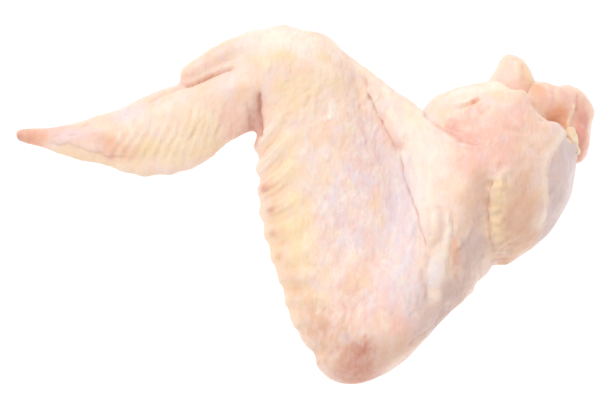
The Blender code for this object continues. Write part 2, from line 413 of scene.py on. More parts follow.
class Relief:
    """A piece's surface, which folds, dimples and patches are worked into.

    `flat` is each point seen from above, strayed a little, so that no fold is quite straight,
    and `loose` the same strayed further, so that patches have ragged edges. `up` is 1 on the
    upper side and fades out as the surface turns under; `bare` fades out further down the
    sides. `lift` and `slide` gather how far each point is to move along its normal and
    sideways. Lengths are in millimetres.

    Args:
        piece: The mesh object to work on.
        plan: The plan that places refer to.
    """

    # Three strayings, each by its size, its reach and its seed.
    SLIGHT = (2.6, 0.35, 4.0)
    BROAD = (6.5, 1.9, 9.0)
    FINE = (2.2, 0.6, 2.0)
    # Where folds, and the tints of stains and painted light, fade out as the surface turns
    # under, as its normal's Z.
    FOLD_SLOPE = (-0.25, 0.15)
    TINT_SLOPE = (-0.95, 0.1)
    # How many widths a line's hill and its overhang are followed for, and how many radii a
    # spot's hill.
    LINE_REACH = 2.5
    OVERHANG_REACH = 2.0
    SPOT_REACH = 3.0
    # A stretch of a path that is shorter than this has no direction.
    SHORTEST = 1e-6
    # How steeply a patch ends: 2 is a soft hill, and more has a flatter top.
    PATCH_EDGE = 2.6
    # Where a veil sets in beside its line, the shares of its reach between which it fades
    # out, and how far out its points are looked for.
    VEIL_START = 0.7
    VEIL_END = (0.5, 1.4)
    VEIL_REACH = 1.5

    def __init__(self, piece: bpy.types.Object, plan: Plan) -> None:
        """Take hold of a piece and read its surface."""
        self.piece = piece
        self.plan = plan
        self.tints: dict[Tint, np.ndarray] = {}
        self.read()

    def read(self) -> None:
        """Read the surface's points and normals from the mesh."""
        mesh = self.piece.data
        self.points = read_vectors(mesh.vertices, "co") / MM
        self.normals = read_vectors(mesh.vertex_normals, "vector")
        self.flat = self.strayed(*self.SLIGHT)
        self.loose = self.strayed(*self.BROAD) + self.strayed(*self.FINE) - self.points[:, :2]
        self.lift = np.zeros(len(self.points))
        self.slide = np.zeros((len(self.points), 2))
        self.up = ramp(self.normals[:, 2], *self.FOLD_SLOPE)
        self.bare = ramp(self.normals[:, 2], *self.TINT_SLOPE)

    def strayed(self, size: float, reach: float, seed: float) -> np.ndarray:
        """Return the points seen from above, each strayed a little from its true place.

        Args:
            size: The size in millimetres over which the straying changes.
            reach: How far the points stray.
            seed: A number that makes one straying differ from another.

        Returns:
            The strayed points, one row each.
        """
        shift = Vector((seed, seed * 1.7, seed * 0.3))
        moves = [noise.noise_vector(Vector(point) / size + shift)[:2] for point in self.points]
        return self.points[:, :2] + np.array(moves) * reach

    def write(self) -> None:
        """Move the mesh's points by what has been worked in, and read it again."""
        moved = self.points + self.normals * self.lift[:, None]
        moved[:, :2] += self.slide
        self.piece.data.vertices.foreach_set("co", (moved * MM).astype(np.float32).ravel())
        self.piece.data.update()
        self.read()

    def stain_and_painted_light(
        self,
        tint: Tint,
        share: np.ndarray | float,
        where: np.ndarray | slice = slice(None),
    ) -> None:
        """Lay a tint over the surface, without going past full strength.

        Args:
            tint: The tint to add.
            share: How much of it, from 0 to 1, for each point.
            where: The points that it reaches.
        """
        layer = self.tints.setdefault(tint, np.zeros(len(self.points)))
        layer[where] = 1.0 - (1.0 - layer[where]) * (1.0 - np.clip(share, 0.0, 1.0))

    def near(self, path: np.ndarray, reach: float) -> tuple[np.ndarray, ...]:
        """Measure the points that lie near a path.

        Args:
            path: The path's points in millimetres.
            reach: How far from the path to look.

        Returns:
            The points' indices, their distance from the path, their share of the way along
            it, their distance to its left, and the direction to the left.
        """
        low, high = path.min(0) - reach, path.max(0) + reach
        index = np.nonzero(((self.flat > low) & (self.flat < high)).all(1))[0]
        here = self.flat[index]
        gap = np.full(len(index), np.inf)
        run, side, left = np.zeros(len(index)), np.zeros(len(index)), np.zeros((len(index), 2))
        before = 0.0
        for start, end in zip(path, path[1:]):
            along = end - start
            length = math.hypot(*along)
            if length < self.SHORTEST:
                continue
            along = along / length
            way = np.clip((here - start) @ along, 0.0, length)
            away = here - start - way[:, None] * along
            distance = np.hypot(*away.T)
            closer = distance < gap
            gap[closer] = distance[closer]
            run[closer] = before + way[closer]
            across = away @ left_of(along)
            side[closer] = np.where(across < 0, -distance, distance)[closer]
            left[closer] = left_of(along)
            before += length
        return index, gap, run / before, side, left

    def fold(self, fold: Fold) -> None:
        """Work one fold into the upper side."""
        self.press_line(self.plan.path(fold.places), fold)

    def press_line(self, path: np.ndarray, fold: Fold) -> None:
        """Work a fold in along a path.

        Args:
            path: The path's points in millimetres.
            fold: The fold, whose own places aren't used.
        """
        widest = max(fold.width, fold.stain_and_light_width, fold.reach if fold.step else 0.0)
        index, gap, run, side, left = self.near(path, widest * self.LINE_REACH)
        ends = ramp(run, 0.0, fold.blunt) * ramp(1.0 - run, 0.0, fold.blunt) if fold.blunt else 1.0
        fade = ends * self.up[index]
        self.lift[index] -= fold.depth * hill(gap, fold.width) * fade
        if fold.step:
            near_line = ramp(side, 0.0, fold.width) * (1.0 - ramp(side, fold.width, fold.reach))
            self.lift[index] += fold.step * near_line * fade
        if fold.overhang:
            over = hill(side, fold.width * self.OVERHANG_REACH) * (side > 0)
            pull = fold.overhang * over * fade
            self.slide[index] -= left * pull[:, None]
        if fold.tint:
            self.stain_and_painted_light(fold.tint, fold.stain_and_painted_light * hill(gap, fold.stain_and_light_width) * fade, index)

    def dimple(self, dimple: Dimple) -> None:
        """Work one dimple into the upper side."""
        self.press_spot(self.plan.point(dimple.place), dimple)

    def press_spot(self, centre: np.ndarray, dimple: Dimple) -> None:
        """Work a dimple in at a position.

        Args:
            centre: The position in millimetres.
            dimple: The dimple, whose own place isn't used.
        """
        distance = np.hypot(*(self.flat - centre).T)
        index = np.nonzero(distance < dimple.radius * self.SPOT_REACH)[0]
        share = hill(distance[index], dimple.radius) * self.up[index]
        self.lift[index] -= dimple.depth * share
        if dimple.tint:
            self.stain_and_painted_light(dimple.tint, dimple.stain_and_painted_light * share, index)

    def pull(self, pull: Pull) -> None:
        """Draw the surface sideways round a place."""
        distance = np.hypot(*(self.flat - self.plan.point(pull.place)).T)
        self.slide += np.array(pull.move) * hill(distance, pull.radius)[:, None]

    def veil(self, places: tuple[Place, ...], tint: Tint, share: float, reach: float) -> None:
        """Lay a tint on the left of a line, fading out with distance.

        Args:
            places: The places that the line runs through.
            tint: The tint to add.
            share: How much of it there is beside the line.
            reach: How far it goes, in millimetres.
        """
        start, end = (reach * part for part in self.VEIL_END)
        index, _gap, _run, side, _left = self.near(self.plan.path(places), reach * self.VEIL_REACH)
        fade = ramp(side, 0.0, self.VEIL_START) * (1.0 - ramp(side, start, end))
        self.stain_and_painted_light(tint, share * fade * self.bare[index], index)

    def patch(self, patch: Patch) -> None:
        """Lay one patch of tint on the upper side.

        Args:
            patch: The patch.
        """
        way = heading(math.radians(patch.turn))
        away = self.loose - self.plan.point(patch.place)
        distance = np.hypot(away @ way / patch.length, away @ left_of(way) / patch.width)
        self.stain_and_painted_light(patch.tint, patch.share * np.exp(-distance ** self.PATCH_EDGE) * self.bare)

    def strew(self, creases: Creases, seed: int) -> None:
        """Work in a set of fine lines, strewn by chance.

        Args:
            creases: The lines' area and make.
            seed: The number that chance starts from.
        """
        chance = np.random.default_rng(seed)
        turn = math.radians(creases.turn)
        way = heading(turn)
        side = left_of(way)
        centre = self.plan.point(creases.place)
        groove = Fold((), creases.depth, creases.groove, creases.tint, creases.stain_and_painted_light, creases.groove,
                      blunt=creases.blunt)
        crest = Fold((), -creases.depth, creases.crest, Tint.CREAM_AND_HIGHLIGHT, creases.stain_and_painted_light, creases.crest,
                     blunt=creases.blunt)
        for _ in range(creases.count):
            along, across = chance.uniform(-1, 1, 2) * (creases.length, creases.width)
            middle = centre + way * along + side * across
            run = heading(turn + chance.normal(0.0, creases.sway)) * creases.line
            run = run * chance.uniform(*creases.lengths)
            bow = side * chance.normal(0.0, creases.bow)
            share = chance.uniform(*creases.strengths)
            line = np.array([middle - run, middle + bow, middle + run])
            self.press_line(line, groove.scaled(share, share))
            self.press_line(line + side * creases.gap, crest.scaled(share, share))

    def lumps(self, lumps: Lumps, mask: np.ndarray | float = 1.0) -> None:
        """Lift and lower the surface softly.

        Args:
            lumps: The lumps' make.
            mask: How much of it each point takes.
        """
        shift = Vector((lumps.seed, lumps.seed * 0.7, lumps.seed * 1.3))
        values = [noise.noise(Vector(point) / lumps.size + shift) for point in self.points]
        self.lift += np.array(values) * lumps.height * mask

    def roughen(self, layers: Sequence[Lumps]) -> None:
        """Work layers of lumps in all over, and write them."""
        for layer in layers:
            self.lumps(layer)
        self.write()

    def dress(self, folds: Sequence[Fold], patches: Sequence[Patch]) -> None:
        """Work in folds and patches, write them, and store the tints.

        Args:
            folds: The folds.
            patches: The patches.
        """
        for fold in folds:
            self.fold(fold)
        for patch in patches:
            self.patch(patch)
        self.write()
        self.store()

    def store(self) -> None:
        """Write every tint to its point attribute."""
        for tint in Tint:
            layer = self.tints.get(tint, np.zeros(len(self.points)))
            made = self.piece.data.attributes.new(tint.value, "FLOAT", "POINT")
            made.data.foreach_set("value", layer.astype(np.float32))


# --------------------------------------------------------------------------------------
# Shaders
# --------------------------------------------------------------------------------------


def colour(red: int, green: int, blue: int) -> tuple[float, float, float, float]:
    """Turn a display colour into the linear colour that shaders take.

    Args:
        red: Its red, 0 to 255.
        green: Its green.
        blue: Its blue.

    Returns:
        Red, green, blue and a full alpha, 0 to 1.
    """
    parts = [part / 255 for part in (red, green, blue)]
    linear = [part / 12.92 if part <= 0.04045 else ((part + 0.055) / 1.055) ** 2.4 for part in parts]
    return (*linear, 1.0)


@dataclass(frozen=True)
class Cloud:
    """Soft noise: its lumps' size in millimetres, and the levels where it sets in and is full."""

    size: float
    low: float
    high: float
    detail: float = 2.0


@dataclass(frozen=True)
class Grain:
    """Relief too fine to model: its size and height in millimetres, and its strength."""

    size: float
    height: float
    strength: float
    detail: float = 3.0


@dataclass(frozen=True)
class Breaks:
    """Noise that breaks tints up: its size in millimetres, and how much that grows by tint.

    The gain and the least turn the noise, 0 to 1, into the share of a tint that shows.
    """

    size: float
    growth: float
    gain: float
    least: float
    detail: float = 3.0


@dataclass(frozen=True)
class Damp:
    """How light sinks into damp flesh, and how its wet film glints.

    The depth is in millimetres. Where the flesh is wettest it is smoother, and has more coat,
    by the last two amounts.
    """

    sink: float
    colours: tuple[float, float, float]
    depth: float
    coat_roughness: float
    roughness: float
    coat: float
    smoother: float
    wetter: float
    ior: float = 1.4


class Value:
    """An output of a shader node that can be used in sums.

    Args:
        sheet: The material that the node is in.
        socket: The node's output socket.
    """

    def __init__(self, sheet: "Sheet", socket: bpy.types.NodeSocket) -> None:
        """Take hold of an output."""
        self.sheet = sheet
        self.socket = socket

    def maths(self, operation: str, first: Any, second: Any = 0.0) -> "Value":
        """Add a Math node for two values."""
        return self.sheet.node("ShaderNodeMath", {"operation": operation}, {0: first, 1: second})

    def __add__(self, other: Any) -> "Value":
        """Add."""
        return self.maths("ADD", self, other)

    def __rsub__(self, other: Any) -> "Value":
        """Subtract from a number."""
        return self.maths("SUBTRACT", other, self)

    def __mul__(self, other: Any) -> "Value":
        """Multiply."""
        return self.maths("MULTIPLY", self, other)

    def between(self, low: float, high: float) -> "Value":
        """Rise smoothly from 0 at low to 1 at high."""
        values = {"Value": self, "From Min": low, "From Max": high}
        return self.sheet.node("ShaderNodeMapRange", {"interpolation_type": "SMOOTHSTEP"}, values)


class Sheet:
    """A material's node tree, written as Python.

    Args:
        name: The material's name.
    """

    def __init__(self, name: str) -> None:
        """Start an empty material."""
        self.material = bpy.data.materials.new(name)
        self.material.use_nodes = True
        self.tree = self.material.node_tree
        self.tree.nodes.clear()
        self.place = self.node("ShaderNodeTexCoord", output="Object")

    def node(
        self,
        kind: str,
        settings: dict[str, Any] | None = None,
        values: dict[Any, Any] | None = None,
        output: Any = 0,
    ) -> Value:
        """Add a node.

        Args:
            kind: The node's type.
            settings: Its own properties, set first.
            values: What goes into each socket: a Value, or a number, vector or colour.
            output: Which output to return.

        Returns:
            The chosen output.
        """
        made = self.tree.nodes.new(kind)
        for name, value in (settings or {}).items():
            setattr(made, name, value)
        for name, value in (values or {}).items():
            if isinstance(value, Value):
                self.tree.links.new(value.socket, made.inputs[name])
            else:
                made.inputs[name].default_value = value
        return Value(self, made.outputs[output])

    def mix(self, share: Any, first: Any, second: Any) -> Value:
        """Mix two colours."""
        return self.node("ShaderNodeMix", {"data_type": "RGBA"}, {0: share, 6: first, 7: second}, 2)

    def cloud(self, size: float, detail: float = 2.0, at: Value | None = None) -> Value:
        """Return soft noise, 0 to 1, with lumps of this size in millimetres."""
        values = {"Vector": at or self.place, "Scale": 1 / (size * MM), "Detail": detail}
        return self.node("ShaderNodeTexNoise", None, values, "Fac")

    def drift(self, cloud: Cloud, at: Value | None = None) -> Value:
        """Return a cloud, 0 where it hasn't set in and 1 where it is full."""
        return self.cloud(cloud.size, cloud.detail, at).between(cloud.low, cloud.high)

    def cells(self, size: float, at: Value | None = None) -> Value:
        """Return how far each point is from the middle of a soft cell.

        Args:
            size: The cells' size in millimetres.
            at: The coordinates to read, or none for the object's own.

        Returns:
            The distance, as a share of a cell.
        """
        settings = {"feature": "SMOOTH_F1"}
        values = {"Vector": at or self.place, "Scale": 1 / (size * MM), "Smoothness": 0.6}
        return self.node("ShaderNodeTexVoronoi", settings, values, "Distance")

    def leaned(self, turn: float, stretch: float, shift: float = 0.0) -> Value:
        """Return object coordinates turned about Z, drawn out and shifted.

        Args:
            turn: The turn in degrees.
            stretch: How many times longer the pattern gets along the turned Y.
            shift: A distance in metres that makes one pattern differ from another.

        Returns:
            The coordinates.
        """
        values = {
            "Vector": self.place,
            "Location": (shift, shift, shift),
            "Rotation": (0, 0, math.radians(turn)),
            "Scale": (1, 1 / stretch, 1),
        }
        return self.node("ShaderNodeMapping", None, values)

    def tint(self, tint: Tint) -> Value:
        """Return how much of a tint the surface carries."""
        return self.node("ShaderNodeAttribute", {"attribute_name": tint.value}, None, "Fac")

    def with_stains_and_painted_light(
        self,
        surface: Value,
        tints: Sequence[tuple[Tint, tuple]],
        breaks: Breaks,
        at: Value,
    ) -> Value:
        """Lay tints over a colour, each broken up by noise of its own size.

        Args:
            surface: The colour under them.
            tints: Each tint and its shade.
            breaks: How the tints are broken up.
            at: The coordinates that the noise reads.

        Returns:
            The colour with its tints laid over it, stains and painted light alike.
        """
        for number, (tint, shade) in enumerate(tints):
            noise_size = breaks.size + number * breaks.growth
            break_up = self.cloud(noise_size, breaks.detail, at) * breaks.gain + breaks.least
            surface = self.mix((self.tint(tint) * break_up).between(0.0, 1.0), surface, shade)
        return surface

    def bump(self, height: Value, grain: Grain, under: Value | None = None) -> Value:
        """Turn a height into a normal.

        Args:
            height: The height, 0 to 1.
            grain: How high and how strong it is.
            under: The normal that it is laid over, if there is one.

        Returns:
            The normal.
        """
        values = {"Height": height, "Distance": grain.height * MM, "Strength": grain.strength}
        if under:
            values["Normal"] = under
        return self.node("ShaderNodeBump", None, values)

    def grained(self, grain: Grain, at: Value | None = None, under: Value | None = None) -> Value:
        """Turn soft noise into a normal, laid over another one if there is one."""
        return self.bump(self.cloud(grain.size, grain.detail, at), grain, under)

    def finish(self, constants: dict[str, Any], varying: dict[str, Value]) -> bpy.types.Material:
        """Add the surface shader and join it to the material's output.

        Args:
            constants: The shader's inputs that are the same all over.
            varying: Its inputs that other nodes feed.

        Returns:
            The material.
        """
        shader = self.node("ShaderNodeBsdfPrincipled", None, {**constants, **varying})
        output = self.tree.nodes.new("ShaderNodeOutputMaterial")
        self.tree.links.new(shader.socket, output.inputs["Surface"])
        return self.material

    def finish_damp(
        self,
        damp: Damp,
        surface: Value,
        normal: Value,
        wet: Value,
        constants: dict[str, float] | None = None,
    ) -> bpy.types.Material:
        """Add the shader of damp flesh.

        Args:
            damp: How light sinks in and glints.
            surface: The colour.
            normal: The normal.
            wet: How wet each point is, 0 to 1.
            constants: Further inputs of the shader that are the same all over.

        Returns:
            The material.
        """
        return self.finish(
            {
                "Subsurface Weight": damp.sink,
                "Subsurface Radius": damp.colours,
                "Subsurface Scale": damp.depth * MM,
                "Coat Roughness": damp.coat_roughness,
                "IOR": damp.ior,
                **(constants or {}),
            },
            {
                "Base Color": surface,
                "Roughness": damp.roughness - wet * damp.smoother,
                "Coat Weight": wet * damp.wetter + damp.coat,
                "Normal": normal,
            },
        )


@dataclass(frozen=True)
class Fleck:
    """Small marks: their size in millimetres, how drawn out they are, and where they start.

    The shift is in metres, and makes one set of marks differ from another.
    """

    size: float
    stretch: float
    shift: float
    shade: tuple
    share: float


@dataclass(frozen=True)
class SkinFinish:
    """Raw, damp chicken skin: thin and pale, with fat, blood and follicles showing through."""

    base: tuple = colour(248, 220, 203)
    warm: tuple = colour(249, 214, 187)
    cool: tuple = colour(242, 219, 213)
    # Cream is partly painted highlight and mauve partly painted shade; the darker tints also paint shade
    # into creases and pits.
    tints: tuple = (
        (Tint.CREAM_AND_HIGHLIGHT, colour(255, 239, 223)),
        (Tint.BUTTER, colour(251, 221, 178)),
        (Tint.BLUSH, colour(249, 197, 180)),
        (Tint.LILAC, colour(236, 220, 225)),
        (Tint.TAN, colour(226, 184, 158)),
        (Tint.MAUVE_AND_SHADE, colour(214, 184, 174)),
        (Tint.ORANGE, colour(236, 168, 132)),
        (Tint.BRICK, colour(208, 142, 124)),
    )
    # The skin's own cream, lilac, pink and yellow flecks; the palest two also stand in for small wet
    # glints, as painted highlights.
    flecks: tuple[Fleck, ...] = (
        Fleck(3.6, 1.4, 0.051, colour(251, 229, 184), 0.36),
        Fleck(3.1, 1.5, 0.023, colour(233, 217, 226), 0.55),
        Fleck(2.7, 1.6, 0.037, colour(248, 201, 190), 0.42),
        Fleck(3.3, 1.5, 0.011, colour(255, 238, 224), 0.34),
        Fleck(1.7, 1.7, 0.083, colour(255, 244, 233), 0.32),
        Fleck(1.8, 1.4, 0.067, colour(232, 192, 180), 0.24),
    )
    fleck_levels: tuple[float, float] = (0.50, 0.66)
    least_mottle: float = 0.2
    pore: tuple = colour(222, 178, 172)
    pore_size: float = 1.4
    pore_levels: tuple[float, float] = (0.24, 0.05)
    pore_share: float = 0.2
    lean: float = -27.0
    stretch: float = 2.0
    warm_cloud: Cloud = Cloud(7.0, 0.35, 0.65)
    cool_cloud: Cloud = Cloud(4.0, 0.45, 0.7, 3.0)
    cool_share: float = 0.6
    pore_cloud: Cloud = Cloud(5.0, 0.42, 0.66)
    wet_cloud: Cloud = Cloud(6.0, 0.4, 0.62)
    breaks: Breaks = Breaks(2.6, 0.4, 1.3, 0.35)
    crepe: Grain = Grain(2.0, 1.0, 0.55)
    pimples: Grain = Grain(1.1, 0.35, 0.35)
    film: Grain = Grain(0.5, 0.12, 0.3)
    damp: Damp = Damp(0.15, (1.0, 0.42, 0.28), 1.4, 0.14, 0.56, 0.08, 0.16, 0.4)
    coat_ior: float = 1.36
    specular: float = 0.35

    def material(self) -> bpy.types.Material:
        """Make the material.

        Returns:
            The material.
        """
        sheet = Sheet("raw_chicken_skin")
        leaned = sheet.leaned(self.lean, self.stretch)
        surface = sheet.mix(sheet.drift(self.warm_cloud), self.base, self.warm)
        surface = sheet.mix(sheet.drift(self.cool_cloud, leaned) * self.cool_share, surface, self.cool)
        surface = sheet.with_stains_and_painted_light(surface, self.tints, self.breaks, leaned)
        mottle = sheet.tint(Tint.MOTTLE) * (1.0 - self.least_mottle) + self.least_mottle
        for fleck in self.flecks:
            at = sheet.leaned(self.lean, fleck.stretch, fleck.shift)
            marks = sheet.drift(Cloud(fleck.size, *self.fleck_levels, 3.0), at)
            surface = sheet.mix(marks * mottle * fleck.share, surface, fleck.shade)
        pores = sheet.cells(self.pore_size).between(*self.pore_levels) * sheet.drift(self.pore_cloud)
        surface = sheet.mix(pores * self.pore_share, surface, self.pore)
        normal = sheet.grained(self.crepe, leaned)
        normal = sheet.bump(sheet.cells(self.pimples.size, leaned), self.pimples, normal)
        normal = sheet.grained(self.film, None, normal)
        wet = sheet.drift(self.wet_cloud)
        extras = {"Coat IOR": self.coat_ior, "Specular IOR Level": self.specular}
        return sheet.finish_damp(self.damp, surface, normal, wet, extras)


@dataclass(frozen=True)
class MeatFinish:
    """Raw flesh at the cut: wet, peach to dark pink, with a paler film over it."""

    base: tuple = colour(253, 215, 193)
    deep: tuple = colour(249, 200, 178)
    tints: tuple = (
        (Tint.BLUSH, colour(248, 196, 184)),
        (Tint.CREAM_AND_HIGHLIGHT, colour(252, 226, 202)),
        (Tint.ORANGE, colour(250, 192, 156)),
        (Tint.BRICK, colour(234, 168, 152)),
        (Tint.MAUVE_AND_SHADE, colour(216, 178, 170)),
    )
    film: tuple = colour(253, 228, 212)
    film_share: float = 0.3
    turn: float = 8.0
    stretch: float = 5.0
    deep_cloud: Cloud = Cloud(1.6, 0.4, 0.66, 3.0)
    film_cloud: Cloud = Cloud(2.2, 0.56, 0.74, 3.0)
    wet_cloud: Cloud = Cloud(4.0, 0.35, 0.6)
    breaks: Breaks = Breaks(2.4, 0.5, 0.7, 0.65)
    grain: Grain = Grain(0.8, 0.3, 0.4)
    damp: Damp = Damp(0.3, (1.0, 0.35, 0.2), 2.6, 0.12, 0.48, 0.15, 0.14, 0.45)

    def material(self) -> bpy.types.Material:
        """Make the material.

        Returns:
            The material.
        """
        sheet = Sheet("raw_shoulder_meat")
        strands = sheet.leaned(self.turn, self.stretch)
        surface = sheet.mix(sheet.drift(self.deep_cloud, strands), self.base, self.deep)
        surface = sheet.with_stains_and_painted_light(surface, self.tints, self.breaks, strands)
        surface = sheet.mix(sheet.drift(self.film_cloud) * self.film_share, surface, self.film)
        normal = sheet.grained(self.grain, strands)
        return sheet.finish_damp(self.damp, surface, normal, sheet.drift(self.wet_cloud))


@dataclass(frozen=True)
class GristleFinish:
    """Smooth, wet gristle over the end of the bone."""

    base: tuple = colour(253, 218, 196)
    tints: tuple = (
        (Tint.BLUSH, colour(252, 206, 196)),
        (Tint.CREAM_AND_HIGHLIGHT, colour(255, 230, 212)),
        (Tint.BUTTER, colour(252, 218, 178)),
        (Tint.ORANGE, colour(248, 184, 150)),
    )
    deep: tuple = colour(248, 208, 188)
    deep_share: float = 0.5
    stretch: float = 3.0
    deep_cloud: Cloud = Cloud(3.0, 0.4, 0.7)
    wet_cloud: Cloud = Cloud(3.0, 0.35, 0.65)
    grain: Grain = Grain(1.4, 0.25, 0.25, 2.0)
    damp: Damp = Damp(0.35, (1.0, 0.5, 0.32), 3.0, 0.1, 0.42, 0.2, 0.1, 0.35)

    def material(self) -> bpy.types.Material:
        """Make the material.

        Returns:
            The material.
        """
        sheet = Sheet("wet_gristle")
        upright = sheet.leaned(0.0, self.stretch)
        surface = sheet.mix(sheet.drift(self.deep_cloud, upright) * self.deep_share, self.base, self.deep)
        for tint, shade in self.tints:
            surface = sheet.mix(sheet.tint(tint), surface, shade)
        normal = sheet.grained(self.grain, upright)
        return sheet.finish_damp(self.damp, surface, normal, sheet.drift(self.wet_cloud))


@dataclass(frozen=True)
class FatFinish:
    """A soft strip of pale yellow fat."""

    base: tuple = colour(243, 217, 186)
    pale: tuple = colour(250, 230, 208)
    pale_cloud: Cloud = Cloud(1.5, 0.4, 0.65, 3.0)
    grain: Grain = Grain(0.9, 0.3, 0.4)

    def material(self) -> bpy.types.Material:
        """Make the material.

        Returns:
            The material.
        """
        sheet = Sheet("pale_yellow_fat")
        surface = sheet.mix(sheet.drift(self.pale_cloud), self.base, self.pale)
        normal = sheet.bump(sheet.cells(self.grain.size), self.grain)
        return sheet.finish(
            {
                "Subsurface Weight": 0.35,
                "Subsurface Radius": (1.0, 0.6, 0.3),
                "Subsurface Scale": 2.0 * MM,
                "Roughness": 0.42,
                "Coat Weight": 0.3,
                "Coat Roughness": 0.12,
            },
            {"Base Color": surface, "Normal": normal},
        )


@dataclass(frozen=True)
class FloorFinish:
    """A plain, nearly white table that glows a little, as a lit studio floor does."""

    shade: tuple = (0.28, 0.28, 0.28, 1.0)
    lighter: tuple = (0.3, 0.3, 0.3, 1.0)
    lighter_share: float = 0.1
    lighter_cloud: Cloud = Cloud(40.0, 0.3, 0.7)
    glow: float = 0.84

    def material(self) -> bpy.types.Material:
        """Make the material.

        Returns:
            The material.
        """
        sheet = Sheet("pale_studio_floor")
        clouds = sheet.drift(self.lighter_cloud) * self.lighter_share
        surface = sheet.mix(clouds, self.shade, self.lighter)
        return sheet.finish(
            {"Roughness": 0.9, "Emission Color": (1, 1, 1, 1), "Emission Strength": self.glow},
            {"Base Color": surface},
        )


# --------------------------------------------------------------------------------------
# The wing's parts
# --------------------------------------------------------------------------------------


def box_point(shares: Sequence[float]) -> Vector:
    """Return the point at these shares of the frame's box."""
    span = CAD_HIGH - CAD_LOW
    return Vector([low + size * share for low, size, share in zip(CAD_LOW, span, shares)])


@dataclass(frozen=True)
class ShoulderCut:
    """The flat cut across the shoulder, as a share of the frame's box and two angles."""

    share: tuple[float, float, float] = (0.9054, 0.6768, 0.8934)
    heading: float = 49.0
    tilt: float = 18.0

    def facing(self) -> Vector:
        """Return the direction that the cut faces.

        Returns:
            The direction, of length 1.
        """
        turn, tilt = math.radians(self.heading), math.radians(self.tilt)
        flat = math.cos(tilt)
        return Vector((flat * math.cos(turn), flat * math.sin(turn), math.sin(tilt)))

    def point(self, depth: float) -> Vector:
        """Return a point on the plane that lies this many millimetres behind the cut."""
        return box_point(self.share) - self.facing() * depth * MM

    def keep(self, item: bpy.types.Object, depth: float, beyond: bool) -> None:
        """Cut an object on a plane behind the cut, close it, and keep one side.

        Args:
            item: The object to cut.
            depth: How many millimetres behind the cut the plane lies.
            beyond: True keeps the shoulder's side, False the wing's side.
        """
        select_only(item)
        bpy.ops.object.mode_set(mode="EDIT")
        bpy.ops.mesh.select_all(action="SELECT")
        bpy.ops.mesh.bisect(
            plane_co=self.point(depth),
            plane_no=self.facing(),
            use_fill=True,
            clear_inner=beyond,
            clear_outer=not beyond,
        )
        bpy.ops.object.mode_set(mode="OBJECT")


def finish_piece(
    piece: bpy.types.Object,
    material: bpy.types.Material,
    slot: str,
    *nodes: str,
) -> None:
    """Dress a piece, shade it smooth, and hand it to the frame.

    Args:
        piece: The finished mesh object.
        material: Its material.
        slot: The name of a material slot. It is not used.
        *nodes: The frame nodes that it stands for.
    """
    select_only(piece)
    bpy.ops.object.shade_smooth()
    piece.data.materials.clear()
    piece.data.materials.append(material)
    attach(piece, BODY)
    if nodes:
        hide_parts(*nodes)
    size = piece.dimensions / MM
    LOG.info("%s: %d faces, %.0f x %.0f x %.0f mm", piece.name, len(piece.data.polygons), *size)


